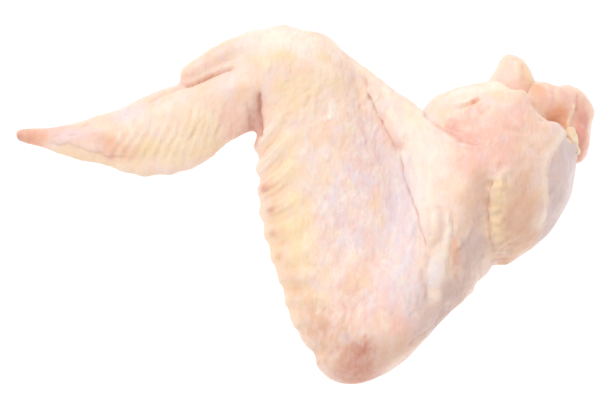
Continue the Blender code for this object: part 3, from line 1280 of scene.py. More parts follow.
@dataclass
class WingSkin:
    """The skin, from the tip to the shoulder cut, with what it wraps filled in behind the cut."""

    plan: Plan
    cut: ShoulderCut
    voxel: float = 0.53
    smoothing: int = 20
    socket_depth: float = 6.5
    overlap: float = 0.6
    spread: float = 0.15
    finish: SkinFinish = field(default_factory=SkinFinish)
    lumps: tuple[Lumps, ...] = (Lumps(11.0, 0.45, 3.1), Lumps(5.0, 0.22, 7.7), Lumps(2.4, 0.10, 1.9))

    # A rib for each flight feather's root, along the flat's trailing edge, with a hollow
    # between two ribs and pits at their feet. Each trend runs from the wrist to the elbow,
    # and leans are in degrees. These folds and dimples have no place of their own, because
    # each is laid wherever a rib stands. The ribs' cream is partly painted highlight, and the
    # hollows' and pits' darker tints partly painted shade.
    rib_spacing: float = 6.1
    rib_start: float = 1.5
    rib_length: float = 11.0
    rib_tail: float = 3.2
    rib_bow: float = 0.7
    rib_lean: Trend = Trend((0.0, 0.12, 0.3, 0.5, 1.0), (50, 42, 20, 8, -10))
    rib_reach: Trend = Trend((0.0, 0.6, 1.0), (1.1, 1.0, 0.6))
    rib_height: Trend = Trend((0.0, 0.35, 1.0), (0.75, 0.55, 0.35))
    rib: Fold = Fold((), -1.0, 1.5, Tint.CREAM_AND_HIGHLIGHT, 0.4, 1.3, blunt=0.3)
    foot_height: Trend = Trend((0.0, 0.25, 0.5, 0.85, 1.0), (0.1, 0.25, 0.6, 0.7, 0.3))
    foot: Dimple = Dimple((0, 0), -1.0, 1.8)
    hollow_length: float = 0.9
    hollow_strength: Trend = Trend((0.0, 0.3, 0.5, 1.0), (1.0, 0.8, 0.5, 0.5))
    hollow: Fold = Fold((), 0.35, 1.0, Tint.ORANGE, 0.3, 1.0, blunt=0.3)
    pit_strength: Trend = Trend((0.0, 0.15, 0.3, 0.5, 1.0), (0.8, 0.75, 0.5, 0.25, 0.25))
    pit_radius: Trend = Trend((0.0, 0.3, 1.0), (1.1, 1.3, 2.0))
    pit: Dimple = Dimple((0, 0), 0.4, 1.1, Tint.BRICK, 0.8)
    halo: Dimple = Dimple((0, 0), 0.2, 1.9, Tint.ORANGE, 0.7)
    halo_shift: tuple[float, float] = (0.9, 0.4)
    inner_pit_pace: float = 0.9
    inner_pit: Dimple = Dimple((0, 0), 0.25, 1.6, Tint.TAN, 0.4)

    # The fine wrinkles among the ribs, on the first third of the edge, near the wrist. The
    # crests' cream is partly painted highlight, and the troughs' tan partly painted shade.
    wrinkle_spacing: float = 1.7
    wrinkle_start: float = 0.4
    wrinkle_length: float = 0.8
    wrinkle_part: float = 0.33
    wrinkle_crest: Fold = Fold((), -0.22, 0.5, Tint.CREAM_AND_HIGHLIGHT, 0.3, 0.5, blunt=0.4)
    wrinkle_trough: Fold = Fold((), 0.16, 0.4, Tint.TAN, 0.24, 0.5, blunt=0.4)
    trough_shift: tuple[float, float] = (0.8, -0.5)

    # The close, slanting ridges on the tip's trailing half, and the bumps along its edge. The
    # cream on ridges and bumps is partly painted highlight, the tan between ridges partly
    # painted shade.
    ridge_spacing: float = 2.7
    ridge_start: float = 0.5
    ridge_tail: float = 3.0
    ridge_bow: tuple[float, float] = (0.3, 0.0)
    ridge_lean: Trend = Trend((0.0, 1.0), (52, 74))
    ridge_length: Trend = Trend((0.0, 0.4, 1.0), (6.0, 11.5, 13.0))
    ridge: Fold = Fold((), -0.26, 0.75, Tint.CREAM_AND_HIGHLIGHT, 0.4, 0.7, blunt=0.3)
    ridge_gap: Fold = Fold((), 0.1, 0.6, Tint.TAN, 0.24, 0.6, blunt=0.3)
    edge_bump_spacing: float = 6.4
    edge_bump_start: float = 1.0
    edge_bump: Dimple = Dimple((0, 0), -0.65, 2.0, Tint.CREAM_AND_HIGHLIGHT, 0.3)

    # The wrinkles that fan out from the point of the elbow, by turns short and long.
    elbow: Place = (0.601, 0.040)
    pucker: Fold = Fold((), 0.16, 0.4, Tint.BRICK, 0.16, 0.5, blunt=0.35)
    pucker_count: int = 9
    pucker_first: float = 55
    pucker_turn: float = 13
    pucker_spans: tuple[tuple[float, float], ...] = ((1.0, 7.0), (2.0, 9.0))
    pucker_bow: tuple[float, float] = (0.3, 0.0)

    trailing_edge: tuple[Place, ...] = (
        (0.425, 0.673), (0.427, 0.555), (0.438, 0.465), (0.455, 0.342),
        (0.473, 0.266), (0.493, 0.174), (0.512, 0.116), (0.540, 0.043),
    )
    edge_pits: tuple[Place, ...] = (
        (0.438, 0.530), (0.449, 0.457), (0.457, 0.387), (0.468, 0.320),
        (0.485, 0.258), (0.506, 0.200), (0.526, 0.143), (0.550, 0.090),
    )
    inner_pits: tuple[Place, ...] = ((0.520, 0.300), (0.529, 0.255), (0.534, 0.200), (0.541, 0.140))
    tip_ridge_feet: tuple[Place, ...] = (
        (0.165, 0.655), (0.210, 0.640), (0.260, 0.628), (0.305, 0.640), (0.350, 0.668),
    )
    tip_edge: tuple[Place, ...] = (
        (0.060, 0.655), (0.110, 0.625), (0.165, 0.600), (0.230, 0.582),
        (0.290, 0.585), (0.345, 0.620), (0.385, 0.668),
    )

    flap_edge: tuple[Place, ...] = (
        (0.953, 0.681), (0.940, 0.635), (0.921, 0.585), (0.908, 0.545), (0.907, 0.490),
        (0.909, 0.450), (0.902, 0.400), (0.888, 0.350),
    )
    flap: Fold = Fold(flap_edge, 0.0, 0.6, step=-0.9, reach=7.0, overhang=-0.3, blunt=0.04)
    lip: Fold = Fold((), -0.25, 0.7, Tint.CREAM_AND_HIGHLIGHT, 0.55, 0.8)
    lip_shift: tuple[float, float] = (-0.7, -0.1)
    # Painted shade on the flank below the flap, which turns away from the light, over the skin's
    # own grey: each tint, its share and its reach.
    painted_flank_shade: tuple[tuple[Tint, float, float], ...] = ((Tint.MAUVE_AND_SHADE, 0.55, 8.0), (Tint.LILAC, 0.75, 9.0))

    # The tip's thin yellow strip, the lumpy fat beside the flap, and the cut edge's pale rim.
    tip_strip: Fold = Fold(
        ((0.050, 0.672), (0.078, 0.664), (0.131, 0.638), (0.202, 0.612), (0.250, 0.600)),
        0.0, 1.0, Tint.BUTTER, 0.5, 1.7,
    )
    fat: Fold = Fold(
        ((0.826, 0.505), (0.823, 0.467), (0.822, 0.430), (0.822, 0.399), (0.825, 0.366), (0.834, 0.322)),
        -0.3, 2.5, Tint.BUTTER, 1.0, 3.9,
    )
    fat_width: float = 3.1
    fat_reach: float = 6.0
    fat_lumps: Lumps = Lumps(1.7, 1.2, 5.3)
    rim: Fold = Fold(
        ((0.815, 0.766), (0.832, 0.768), (0.872, 0.776), (0.880, 0.750), (0.890, 0.690), (0.901, 0.646)),
        0.0, 1.0, Tint.CREAM_AND_HIGHLIGHT, 0.7, 1.6, blunt=0.05,
    )

    # Each fold's places are followed by its depth, width, tint, the tint's share and the tint's
    # width. The tint is partly the skin's own colour and partly painted light: painted shade in
    # grooves, painted highlight on raised lines.
    folds: tuple[Fold, ...] = (
        # The deep crease where the web meets the flat, from the wrist to the elbow. Its brick line
        # and the blush along it are partly painted shade in the crease.
        Fold(
            ((0.607, 0.832), (0.610, 0.812), (0.612, 0.792)),
            0.5, 0.7, Tint.BRICK, 0.4, 0.5, blunt=0.35,
        ),
        Fold(
            ((0.610, 0.800), (0.623, 0.755), (0.638, 0.702), (0.651, 0.655), (0.663, 0.611)),
            0.8, 0.5, Tint.BRICK, 0.7, 0.42, step=0.7, reach=5.0, overhang=0.4, blunt=0.15,
        ),
        Fold(
            ((0.666, 0.613), (0.669, 0.594), (0.674, 0.548),
             (0.685, 0.476), (0.696, 0.395), (0.710, 0.318)),
            0.6, 0.45, Tint.BRICK, 0.6, 0.36, step=0.4, reach=3.5, overhang=0.2, blunt=0.1,
        ),
        Fold(
            ((0.628, 0.735), (0.645, 0.682), (0.660, 0.640), (0.670, 0.600)),
            0.0, 1.0, Tint.BLUSH, 0.6, 1.8,
        ),
        # A second, softer line beside it.
        Fold(
            ((0.690, 0.408), (0.691, 0.363), (0.685, 0.325), (0.682, 0.276)),
            0.2, 0.6, Tint.MAUVE_AND_SHADE, 0.25, 0.6,
        ),
        # The small triangle of pale skin in the bend of the elbow.
        Fold(
            ((0.710, 0.322), (0.704, 0.269), (0.705, 0.217), (0.709, 0.175)),
            0.35, 0.6, Tint.BLUSH, 0.55, 0.6, step=-0.5, reach=4.0,
        ),
        Fold(((0.709, 0.326), (0.722, 0.333), (0.733, 0.345)), 0.25, 0.8, Tint.MAUVE_AND_SHADE, 0.25, 0.7),
        Fold(((0.744, 0.310), (0.742, 0.270), (0.732, 0.215)), 0.25, 0.7, Tint.MAUVE_AND_SHADE, 0.3, 0.7),
        # The tongue of skin above it, and the folds to its right.
        Fold(((0.712, 0.430), (0.711, 0.385), (0.714, 0.348)), 0.25, 0.8, Tint.MAUVE_AND_SHADE, 0.3, 0.8),
        Fold(
            ((0.724, 0.440), (0.731, 0.405), (0.733, 0.365), (0.727, 0.335)),
            0.3, 0.9, Tint.MAUVE_AND_SHADE, 0.35, 0.8,
        ),
        Fold(
            ((0.747, 0.425), (0.749, 0.380), (0.748, 0.340), (0.749, 0.290)),
            0.4, 0.6, Tint.TAN, 0.5, 0.7, step=0.3, reach=3.0,
        ),
        Fold(((0.745, 0.420), (0.744, 0.375), (0.743, 0.330)), -0.35, 0.7, Tint.CREAM_AND_HIGHLIGHT, 0.8, 0.9),
        Fold(
            ((0.753, 0.370), (0.754, 0.335), (0.756, 0.300), (0.757, 0.268)),
            0.2, 0.7, Tint.ORANGE, 0.6, 1.0, blunt=0.3,
        ),
        Fold(
            ((0.732, 0.335), (0.724, 0.285), (0.716, 0.220)),
            -0.6, 1.9, Tint.CREAM_AND_HIGHLIGHT, 0.45, 2.3, blunt=0.3,
        ),
        Fold(
            ((0.728, 0.320), (0.722, 0.280), (0.714, 0.215)),
            0.0, 1.0, Tint.LILAC, 0.45, 2.3, blunt=0.3,
        ),
        Fold(
            ((0.718, 0.430), (0.722, 0.390), (0.722, 0.355)),
            -0.3, 1.3, Tint.CREAM_AND_HIGHLIGHT, 0.5, 1.2, blunt=0.3,
        ),
        Fold(((0.757, 0.330), (0.762, 0.300), (0.771, 0.272)), 0.35, 0.5, Tint.TAN, 0.5, 0.6),
        Fold(((0.754, 0.268), (0.758, 0.250), (0.765, 0.236)), 0.35, 0.5, Tint.TAN, 0.5, 0.6),
        Fold(((0.735, 0.190), (0.728, 0.150), (0.716, 0.115)), 0.3, 0.8, Tint.BLUSH, 0.4, 1.1),
        Fold(((0.694, 0.200), (0.688, 0.150), (0.676, 0.105)), 0.25, 0.9, Tint.BLUSH, 0.5, 1.4),
        # The fat beside the flap of skin on the drumette.
        Fold(
            ((0.826, 0.525), (0.812, 0.468), (0.808, 0.430), (0.809, 0.400),
             (0.812, 0.366), (0.819, 0.327), (0.826, 0.296)),
            0.3, 0.6, Tint.BRICK, 0.4, 0.7, step=0.55, reach=5.5, overhang=0.1, blunt=0.2,
        ),
        # The web's free edge where it runs over the drumette. The brick in its groove is partly
        # painted shade, and the cream on the raised lip beside it a painted highlight.
        Fold(
            ((0.701, 0.702), (0.724, 0.666), (0.746, 0.634),
             (0.763, 0.606), (0.782, 0.592), (0.800, 0.588)),
            0.7, 0.55, Tint.BRICK, 0.35, 0.7, step=-0.9, reach=3.5, blunt=0.08,
        ),
        Fold(
            ((0.722, 0.660), (0.750, 0.612), (0.775, 0.588), (0.800, 0.580)),
            -0.5, 0.7, Tint.CREAM_AND_HIGHLIGHT, 0.9, 0.9,
        ),
        Fold(((0.735, 0.672), (0.752, 0.645), (0.770, 0.632)), 0.3, 0.5, Tint.BRICK, 0.3, 0.6),
        Fold(((0.742, 0.690), (0.758, 0.668), (0.780, 0.660)), -0.35, 0.8, Tint.CREAM_AND_HIGHLIGHT, 0.6, 0.9),
        # The slit in the skin over the shoulder, and the loose skin round it.
        Fold(
            ((0.750, 0.706), (0.770, 0.705), (0.786, 0.712), (0.802, 0.726)),
            0.4, 0.4, Tint.ORANGE, 0.5, 0.5, step=0.35, reach=3.0, blunt=0.3,
        ),
        Fold(
            ((0.780, 0.710), (0.790, 0.716), (0.801, 0.727)),
            0.2, 0.5, Tint.ORANGE, 0.6, 0.7, blunt=0.3,
        ),
        Fold(((0.757, 0.715), (0.778, 0.716), (0.795, 0.731)), -0.3, 0.8, Tint.CREAM_AND_HIGHLIGHT, 0.5, 0.8),
        Fold(((0.752, 0.690), (0.775, 0.685), (0.798, 0.700)), -0.25, 0.9, Tint.CREAM_AND_HIGHLIGHT, 0.4, 0.9),
        Fold(((0.812, 0.700), (0.835, 0.690), (0.862, 0.697)), -0.3, 1.0, Tint.CREAM_AND_HIGHLIGHT, 0.4, 1.0),
        Fold(((0.835, 0.640), (0.860, 0.625), (0.885, 0.632)), 0.3, 0.9, Tint.TAN, 0.35, 0.9),
        Fold(((0.860, 0.610), (0.880, 0.585), (0.897, 0.560)), 0.25, 0.9, Tint.TAN, 0.3, 0.9),
        # Where the tip folds against the flat. The brick and tan in these lines are painted shade
        # in the fold, over the skin's own pinkish brown.
        Fold(
            ((0.430, 0.800), (0.428, 0.748), (0.431, 0.713), (0.437, 0.665)),
            0.55, 0.5, Tint.BRICK, 0.6, 0.7, step=0.3, reach=3.0,
        ),
        Fold(((0.404, 0.772), (0.411, 0.735), (0.413, 0.695)), 0.35, 0.6, Tint.TAN, 0.5, 0.8),
        # The wrinkle that sets off the tip's thin trailing strip.
        Fold(
            ((0.050, 0.692), (0.065, 0.688), (0.078, 0.680), (0.092, 0.681),
             (0.105, 0.670), (0.119, 0.666), (0.131, 0.655), (0.146, 0.652),
             (0.162, 0.642), (0.180, 0.640), (0.205, 0.632)),
            0.15, 0.35, Tint.BRICK, 0.3, 0.35, step=0.3, reach=3.0,
        ),
        # The line under the tip's leading edge, and the crease under the thumb.
        Fold(
            ((0.232, 0.780), (0.252, 0.798), (0.278, 0.816), (0.300, 0.826)),
            0.35, 0.6, Tint.TAN, 0.4, 0.8,
        ),
        Fold(
            ((0.288, 0.830), (0.303, 0.828), (0.329, 0.838), (0.359, 0.857), (0.391, 0.870)),
            0.9, 0.5, Tint.ORANGE, 0.6, 0.6, step=0.6, reach=2.5, overhang=0.2,
        ),
        # Small blood vessels near the end of the tip.
        Fold(((0.058, 0.702), (0.070, 0.706), (0.080, 0.705)), 0.05, 0.4, Tint.MAUVE_AND_SHADE, 0.6, 0.4),
        Fold(((0.088, 0.700), (0.100, 0.703), (0.112, 0.702)), 0.05, 0.4, Tint.MAUVE_AND_SHADE, 0.5, 0.4),
        Fold(((0.112, 0.727), (0.122, 0.732), (0.132, 0.731)), 0.05, 0.4, Tint.MAUVE_AND_SHADE, 0.5, 0.4),
        # A raised wrinkle below the wrist, whose full cream is a painted glint, and two soft ones
        # beside it.
        Fold(((0.558, 0.772), (0.553, 0.735), (0.547, 0.700)), -0.6, 0.7, Tint.CREAM_AND_HIGHLIGHT, 1.0, 1.0),
        Fold(((0.528, 0.775), (0.522, 0.735), (0.514, 0.700)), -0.2, 0.9, Tint.CREAM_AND_HIGHLIGHT, 0.3, 0.9),
        Fold(((0.575, 0.760), (0.571, 0.720), (0.563, 0.690)), -0.2, 0.9, Tint.BLUSH, 0.3, 0.9),
    )

    creases: tuple[Creases, ...] = (
        Creases((0.762, 0.250), 9, 3, 72, 20, 0.2, Tint.MAUVE_AND_SHADE, 0.45),
        Creases((0.690, 0.270), 11, 3, 85, 18, 0.16, Tint.MAUVE_AND_SHADE, 0.3),
        Creases((0.785, 0.360), 10, 3, 85, 16, 0.14, Tint.MAUVE_AND_SHADE, 0.35),
        Creases((0.715, 0.130), 9, 3, 48, 16, 0.18, Tint.BRICK, 0.25),
        Creases((0.590, 0.480), 26, 9, 70, 50, 0.14, Tint.BRICK, 0.14, 2.2),
        Creases((0.580, 0.740), 9, 9, 60, 26, 0.16, Tint.BLUSH, 0.3, 2.0),
        Creases((0.490, 0.760), 7, 7, 50, 16, 0.14, Tint.TAN, 0.25, 2.0),
        Creases((0.810, 0.640), 8, 6, 20, 12, 0.14, Tint.BRICK, 0.12, 2.0),
        Creases((0.765, 0.700), 5, 3, 25, 8, 0.18, Tint.BLUSH, 0.3, 2.0),
        Creases((0.110, 0.700), 7, 2, 0, 9, 0.1, Tint.BLUSH, 0.4, 2.0),
        Creases((0.345, 0.700), 6, 6, 70, 12, 0.14, Tint.BRICK, 0.2, 2.5),
        Creases((0.595, 0.075), 5, 4, 55, 14, 0.14, Tint.BRICK, 0.35, 1.6),
        Creases((0.545, 0.110), 7, 5, 50, 14, 0.14, Tint.TAN, 0.3, 1.8),
        Creases((0.860, 0.400), 12, 5, 80, 12, 0.1, Tint.TAN, 0.25, 2.5),
    )

    # Where the surface is drawn sideways: round the cut's edge, at the tip's end, and at the
    # outline below the drumette.
    pulls: tuple[Pull, ...] = (
        Pull((0.899, 0.655), (-1.6, -1.6), 3.2),
        Pull((0.925, 0.655), (0.9, 1.2), 2.6),
        Pull((0.862, 0.720), (1.5, 1.7), 2.4),
        Pull((0.006, 0.708), (-0.9, 0.05), 2.6),
        Pull((0.768, 0.215), (0.7, -0.6), 4.5),
        Pull((0.828, 0.300), (-0.4, 1.5), 2.0),
        Pull((0.785, 0.245), (0.5, -0.4), 1.2),
        Pull((0.752, 0.170), (0.4, -0.4), 1.2),
    )

    dimples: tuple[Dimple, ...] = (
        Dimple((0.585, 0.895), -1.2, 7.0),
        Dimple((0.753, 0.372), -0.5, 1.1, Tint.CREAM_AND_HIGHLIGHT, 0.5),
        Dimple((0.739, 0.585), 0.25, 0.35, Tint.MAUVE_AND_SHADE, 0.5),
        Dimple((0.753, 0.575), 0.25, 0.35, Tint.MAUVE_AND_SHADE, 0.5),
        Dimple((0.761, 0.560), -0.4, 1.2, Tint.CREAM_AND_HIGHLIGHT, 0.5),
        Dimple((0.735, 0.520), -0.3, 1.0, Tint.CREAM_AND_HIGHLIGHT, 0.4),
        Dimple((0.425, 0.884), -0.2, 1.2, Tint.BUTTER, 0.6),
        Dimple((0.463, 0.884), -0.2, 1.4, Tint.BUTTER, 0.6),
        Dimple((0.442, 0.850), -0.2, 1.0, Tint.BUTTER, 0.4),
        Dimple((0.010, 0.707), 0.2, 0.9, Tint.BRICK, 0.6),
    )

    # Each patch's place is followed by its half length, half width, turn and share.
    patches: tuple[Patch, ...] = (
        # Partly the skin's own pale patches, partly painted highlight on the web and the wrist's top,
        # which face the light.
        *patches_of(
            Tint.CREAM_AND_HIGHLIGHT,
            ((0.698, 0.610), 10, 7, -60, 0.9), ((0.688, 0.500), 11, 4, -75, 0.8),
            ((0.667, 0.690), 9, 4, -50, 0.5), ((0.630, 0.800), 9, 4, -50, 0.4),
            ((0.480, 0.930), 15, 6, -12, 0.7), ((0.800, 0.755), 10, 3, 5, 0.6),
            ((0.722, 0.270), 6, 2.6, 78, 0.7), ((0.741, 0.345), 4, 1.5, 80, 0.5),
            ((0.255, 0.756), 8, 4, 20, 0.5), ((0.600, 0.460), 6, 4, 60, 0.3),
            ((0.335, 0.705), 4, 4, 0, 0.3), ((0.285, 0.655), 7, 3, 30, 0.5),
            ((0.632, 0.050), 2.0, 6, -35, 0.5), ((0.548, 0.820), 6, 5, 0, 0.4),
        ),
        *patches_of(
            Tint.BUTTER,
            ((0.684, 0.700), 6, 2.5, -50, 0.4), ((0.472, 0.561), 6, 4, 60, 0.6),
            ((0.481, 0.451), 8, 6, 70, 0.8), ((0.484, 0.369), 7, 6, 80, 0.9),
            ((0.502, 0.290), 7, 5, 60, 0.6), ((0.440, 0.870), 3, 2, 0, 0.5),
            ((0.475, 0.885), 3, 2, 0, 0.6), ((0.545, 0.880), 4, 2, -30, 0.5),
            ((0.500, 0.770), 8, 5, 30, 0.5), ((0.475, 0.640), 6, 5, 45, 0.5),
            ((0.238, 0.645), 8, 3, -5, 0.7), ((0.290, 0.672), 8, 5, 30, 0.45),
            ((0.325, 0.650), 5, 4, 40, 0.5), ((0.848, 0.745), 7, 5, -20, 0.5),
            ((0.470, 0.800), 6, 3, 0, 0.4), ((0.930, 0.350), 4, 3, 0, 0.4),
            ((0.338, 0.700), 5, 5, 0, 0.5), ((0.520, 0.190), 10, 5, -62, 0.6),
            ((0.548, 0.800), 6, 5, 0, 0.4),
        ),
        *patches_of(
            Tint.LILAC,
            ((0.100, 0.705), 8, 2.5, 5, 0.5), ((0.664, 0.430), 15, 5, 82, 0.8),
            ((0.600, 0.560), 10, 6, 60, 0.6), ((0.585, 0.400), 10, 6, 80, 0.6),
            ((0.640, 0.230), 8, 6, 60, 0.5), ((0.610, 0.680), 7, 4, 60, 0.5),
            ((0.655, 0.560), 7, 4, -60, 0.5), ((0.675, 0.300), 9, 3.5, 80, 0.7),
            ((0.545, 0.480), 5, 4, 60, 0.6), ((0.205, 0.757), 5, 3, 25, 0.6),
            ((0.690, 0.190), 6, 3, 70, 0.6),
        ),
        *patches_of(
            Tint.BLUSH,
            ((0.070, 0.712), 8, 3.0, 5, 0.9), ((0.132, 0.690), 5, 2.5, 0, 0.5),
            ((0.583, 0.622), 6, 3, 60, 0.4), ((0.574, 0.511), 6, 3, 60, 0.5),
            ((0.582, 0.410), 7, 3, 80, 0.4), ((0.640, 0.620), 5, 3, -60, 0.4),
            ((0.764, 0.657), 5, 3.5, 20, 0.9), ((0.800, 0.600), 7, 5.5, -40, 1.0),
            ((0.782, 0.560), 5, 3, 20, 0.8), ((0.826, 0.640), 8, 5, -20, 0.5),
            ((0.675, 0.138), 6, 4, 45, 0.6), ((0.640, 0.240), 8, 5, 60, 0.4),
            ((0.650, 0.170), 7, 5, 50, 0.5), ((0.600, 0.300), 8, 4, 70, 0.35),
            ((0.770, 0.520), 5, 3, -10, 0.7), ((0.798, 0.545), 5, 4, -10, 0.7),
            ((0.786, 0.630), 6, 4, 20, 0.7), ((0.875, 0.560), 7, 5, 0, 0.5),
            ((0.872, 0.675), 7, 5, -20, 0.75), ((0.828, 0.610), 7, 5, 0, 0.5),
            ((0.572, 0.170), 13, 7, 70, 0.5), ((0.575, 0.440), 12, 4, 75, 0.4),
            ((0.640, 0.200), 6, 5, 50, 0.35), ((0.380, 0.715), 5, 4, 60, 0.6),
            ((0.345, 0.880), 6, 3, 30, 0.35), ((0.300, 0.845), 3, 2, 30, 0.5),
        ),
        *patches_of(
            Tint.TAN,
            ((0.860, 0.450), 12, 5.5, 85, 0.7), ((0.862, 0.355), 7, 5, 20, 0.7),
            ((0.790, 0.465), 7, 3.4, 84, 0.95), ((0.563, 0.862), 6, 3, -30, 0.3),
            ((0.565, 0.085), 7, 5, -30, 0.6), ((0.540, 0.110), 5, 4, -40, 0.4),
            ((0.660, 0.085), 5, 3, 40, 0.5), ((0.778, 0.420), 4, 5, 0, 0.5),
            ((0.768, 0.290), 5, 2.5, 80, 0.5), ((0.590, 0.060), 12, 7, 5, 0.45),
            ((0.512, 0.190), 13, 4.5, -62, 0.5), ((0.565, 0.190), 10, 6, 60, 0.4),
        ),
        *patches_of(
            Tint.ORANGE,
            ((0.858, 0.430), 12, 5, 85, 0.3), ((0.588, 0.030), 8, 5.0, 10, 0.4),
            ((0.012, 0.708), 5, 4, 0, 0.5), ((0.040, 0.696), 4, 2, 0, 0.5),
            ((0.178, 0.655), 7, 2.5, -10, 0.55), ((0.392, 0.783), 4, 3, 0, 0.35),
        ),
        # Mostly painted shade on the lower right flanks of the drumette and elbow, which turn from the
        # light, over the skin's own grey mauve.
        *patches_of(
            Tint.MAUVE_AND_SHADE,
            ((0.789, 0.330), 6, 5, 70, 0.75), ((0.757, 0.215), 6, 2.6, 60, 0.9),
            ((0.699, 0.250), 6, 1.6, 85, 0.4), ((0.690, 0.130), 5, 2.5, 60, 0.4),
            ((0.800, 0.460), 2.5, 6, 0, 0.4), ((0.777, 0.380), 4, 5, 0, 0.35),
            ((0.728, 0.160), 9, 4, 50, 0.85), ((0.570, 0.450), 5, 4, 60, 0.35),
        ),
        *patches_of(
            Tint.BRICK,
            ((0.598, 0.058), 5.5, 4.0, 10, 0.75), ((0.590, 0.012), 8, 4.0, 10, 0.5),
            # These two are painted shade in the notch between the tip and the flat, over the skin's own
            # pinkish brown.
            ((0.414, 0.710), 6, 2.6, 80, 0.6), ((0.402, 0.665), 4, 2, 20, 0.5),
            ((0.008, 0.708), 4, 4, 0, 0.5),
        ),
        *patches_of(
            Tint.MOTTLE,
            ((0.585, 0.500), 28, 12, 80, 1.0), ((0.610, 0.250), 20, 12, 60, 0.8),
            ((0.570, 0.740), 12, 9, 40, 0.5), ((0.770, 0.640), 12, 8, 0, 0.4),
            ((0.860, 0.620), 14, 10, 0, 0.3),
        ),
    )

    def build(self) -> bpy.types.Object:
        """Make the skin and dress it.

        Returns:
            The piece.
        """
        piece = self.shell()
        relief = Relief(piece, self.plan)
        relief.roughen(self.lumps)
        self.wrinkle(relief)
        self.colour_in(relief)
        relief.store()
        finish_piece(piece, self.finish.material(), "skin", "wing_skin")
        return piece

    def shell(self) -> bpy.types.Object:
        """Fuse the skin with the flesh and bone behind the cut.

        Returns:
            One fine, smooth mesh.
        """
        skin = merged_copy("wing_skin", "wet_skin")
        cores = [merged_copy("drumette_meat", "core_meat"), merged_copy("humerus_bone", "core_bone")]
        for core in cores:
            swell(core, self.overlap)
            self.cut.keep(core, self.socket_depth, beyond=False)
        piece = join("wet_skin", [skin, *cores])
        resurface(piece, self.voxel, self.smoothing)
        swell(piece, self.spread)
        return piece

    def wrinkle(self, relief: Relief) -> None:
        """Work in the folds, the feather ribs and pits, the tip's ridges and the flap.

        Args:
            relief: The skin's surface.
        """
        for fold in self.folds:
            relief.fold(fold)
        for dimple in self.dimples:
            relief.dimple(dimple)
        for seed, creases in enumerate(self.creases):
            relief.strew(creases, seed)
        self.rib_the_flat(relief)
        self.pit_the_flat(relief)
        self.ridge_the_tip(relief)
        self.pucker_the_elbow(relief)
        relief.fold(self.flap)
        relief.press_line(self.plan.path(self.flap_edge) + self.lip_shift, self.lip)
        for pull in self.pulls:
            relief.pull(pull)
        relief.write()

    def rib_the_flat(self, relief: Relief) -> None:
        """Raise a rib for each flight feather's root, with a hollow between two ribs.

        Args:
            relief: The skin's surface.
        """
        edge = self.plan.path(self.trailing_edge)
        for foot, share in walk(edge, self.rib_spacing, self.rib_start):
            relief.press_line(self.rib_line(foot, share, 1.0), self.rib.scaled(self.rib_height.at(share)))
            relief.press_spot(foot, self.foot.scaled(self.foot_height.at(share)))
        for foot, share in walk(edge, self.rib_spacing, self.rib_start + self.rib_spacing / 2):
            strength = self.hollow_strength.at(share)
            line = self.rib_line(foot, share, self.hollow_length)
            relief.press_line(line, self.hollow.scaled(strength, strength))
        wrist_part = edge[: len(edge) // 3]
        for foot, share in walk(wrist_part, self.wrinkle_spacing, self.wrinkle_start):
            line = self.rib_line(foot, share * self.wrinkle_part, self.wrinkle_length)
            relief.press_line(line, self.wrinkle_crest)
            relief.press_line(line + self.trough_shift, self.wrinkle_trough)

    def pit_the_flat(self, relief: Relief) -> None:
        """Press in the pits between the ribs' feet, and the softer ones further in.

        Args:
            relief: The skin's surface.
        """
        for centre, share in walk(self.plan.path(self.edge_pits), self.rib_spacing):
            strength, radius = self.pit_strength.at(share), self.pit_radius.at(share)
            relief.press_spot(centre, self.pit.scaled(strength, radius, strength))
            relief.press_spot(centre + self.halo_shift, self.halo.scaled(1.0, radius, strength))
        inner = self.plan.path(self.inner_pits)
        for centre, _share in walk(inner, self.rib_spacing * self.inner_pit_pace):
            relief.press_spot(centre, self.inner_pit)

    def rib_line(self, foot: np.ndarray, share: float, scale: float) -> np.ndarray:
        """Return the line of a rib that starts beside the trailing edge.

        Args:
            foot: Where on the edge it starts, in millimetres.
            share: How far along the edge that is, from the wrist to the elbow.
            scale: Its length as a share of a full rib's.

        Returns:
            The line's three points.
        """
        way = heading(math.radians(self.rib_lean.at(share)))
        length = scale * self.rib_length * self.rib_reach.at(share)
        bow = left_of(way) * -self.rib_bow
        return bent_line(foot, way, (-self.rib_tail, length * 0.5, length), bow)

    def ridge_the_tip(self, relief: Relief) -> None:
        """Raise the ridges on the tip, and the bumps along its edge.

        Args:
            relief: The skin's surface.
        """
        feet = self.plan.path(self.tip_ridge_feet)
        for foot, share in walk(feet, self.ridge_spacing, self.ridge_start):
            way = heading(math.radians(self.ridge_lean.at(share)))
            length = self.ridge_length.at(share)
            line = bent_line(foot, way, (-self.ridge_tail, length * 0.5, length), self.ridge_bow)
            relief.press_line(line, self.ridge)
            relief.press_line(line + (self.ridge_spacing * 0.5, 0.0), self.ridge_gap)
        edge = self.plan.path(self.tip_edge)
        for centre, _share in walk(edge, self.edge_bump_spacing, self.edge_bump_start):
            relief.press_spot(centre, self.edge_bump)

    def pucker_the_elbow(self, relief: Relief) -> None:
        """Draw fine wrinkles up from the point of the elbow.

        Args:
            relief: The skin's surface.
        """
        centre = self.plan.point(self.elbow)
        for number in range(self.pucker_count):
            way = heading(math.radians(self.pucker_first + self.pucker_turn * number))
            start, end = self.pucker_spans[number % 2]
            line = bent_line(centre, way, (start, (start + end) / 2, end), self.pucker_bow)
            relief.press_line(line, self.pucker)

    def colour_in(self, relief: Relief) -> None:
        """Lay the patches of colour, the yellow strip, the fat and the rim.

        Args:
            relief: The skin's surface.
        """
        for patch in self.patches:
            relief.patch(patch)
        for tint, share, reach in self.painted_flank_shade:
            relief.veil(self.flap_edge, tint, share, reach)
        for strip in (self.tip_strip, self.fat):
            relief.fold(strip)
        index, gap, *_rest = relief.near(self.plan.path(self.fat.places), self.fat_reach)
        mask = np.zeros(len(relief.points))
        mask[index] = hill(gap, self.fat_width)
        relief.lumps(self.fat_lumps, mask * relief.up)
        relief.fold(self.rim)
        relief.write()


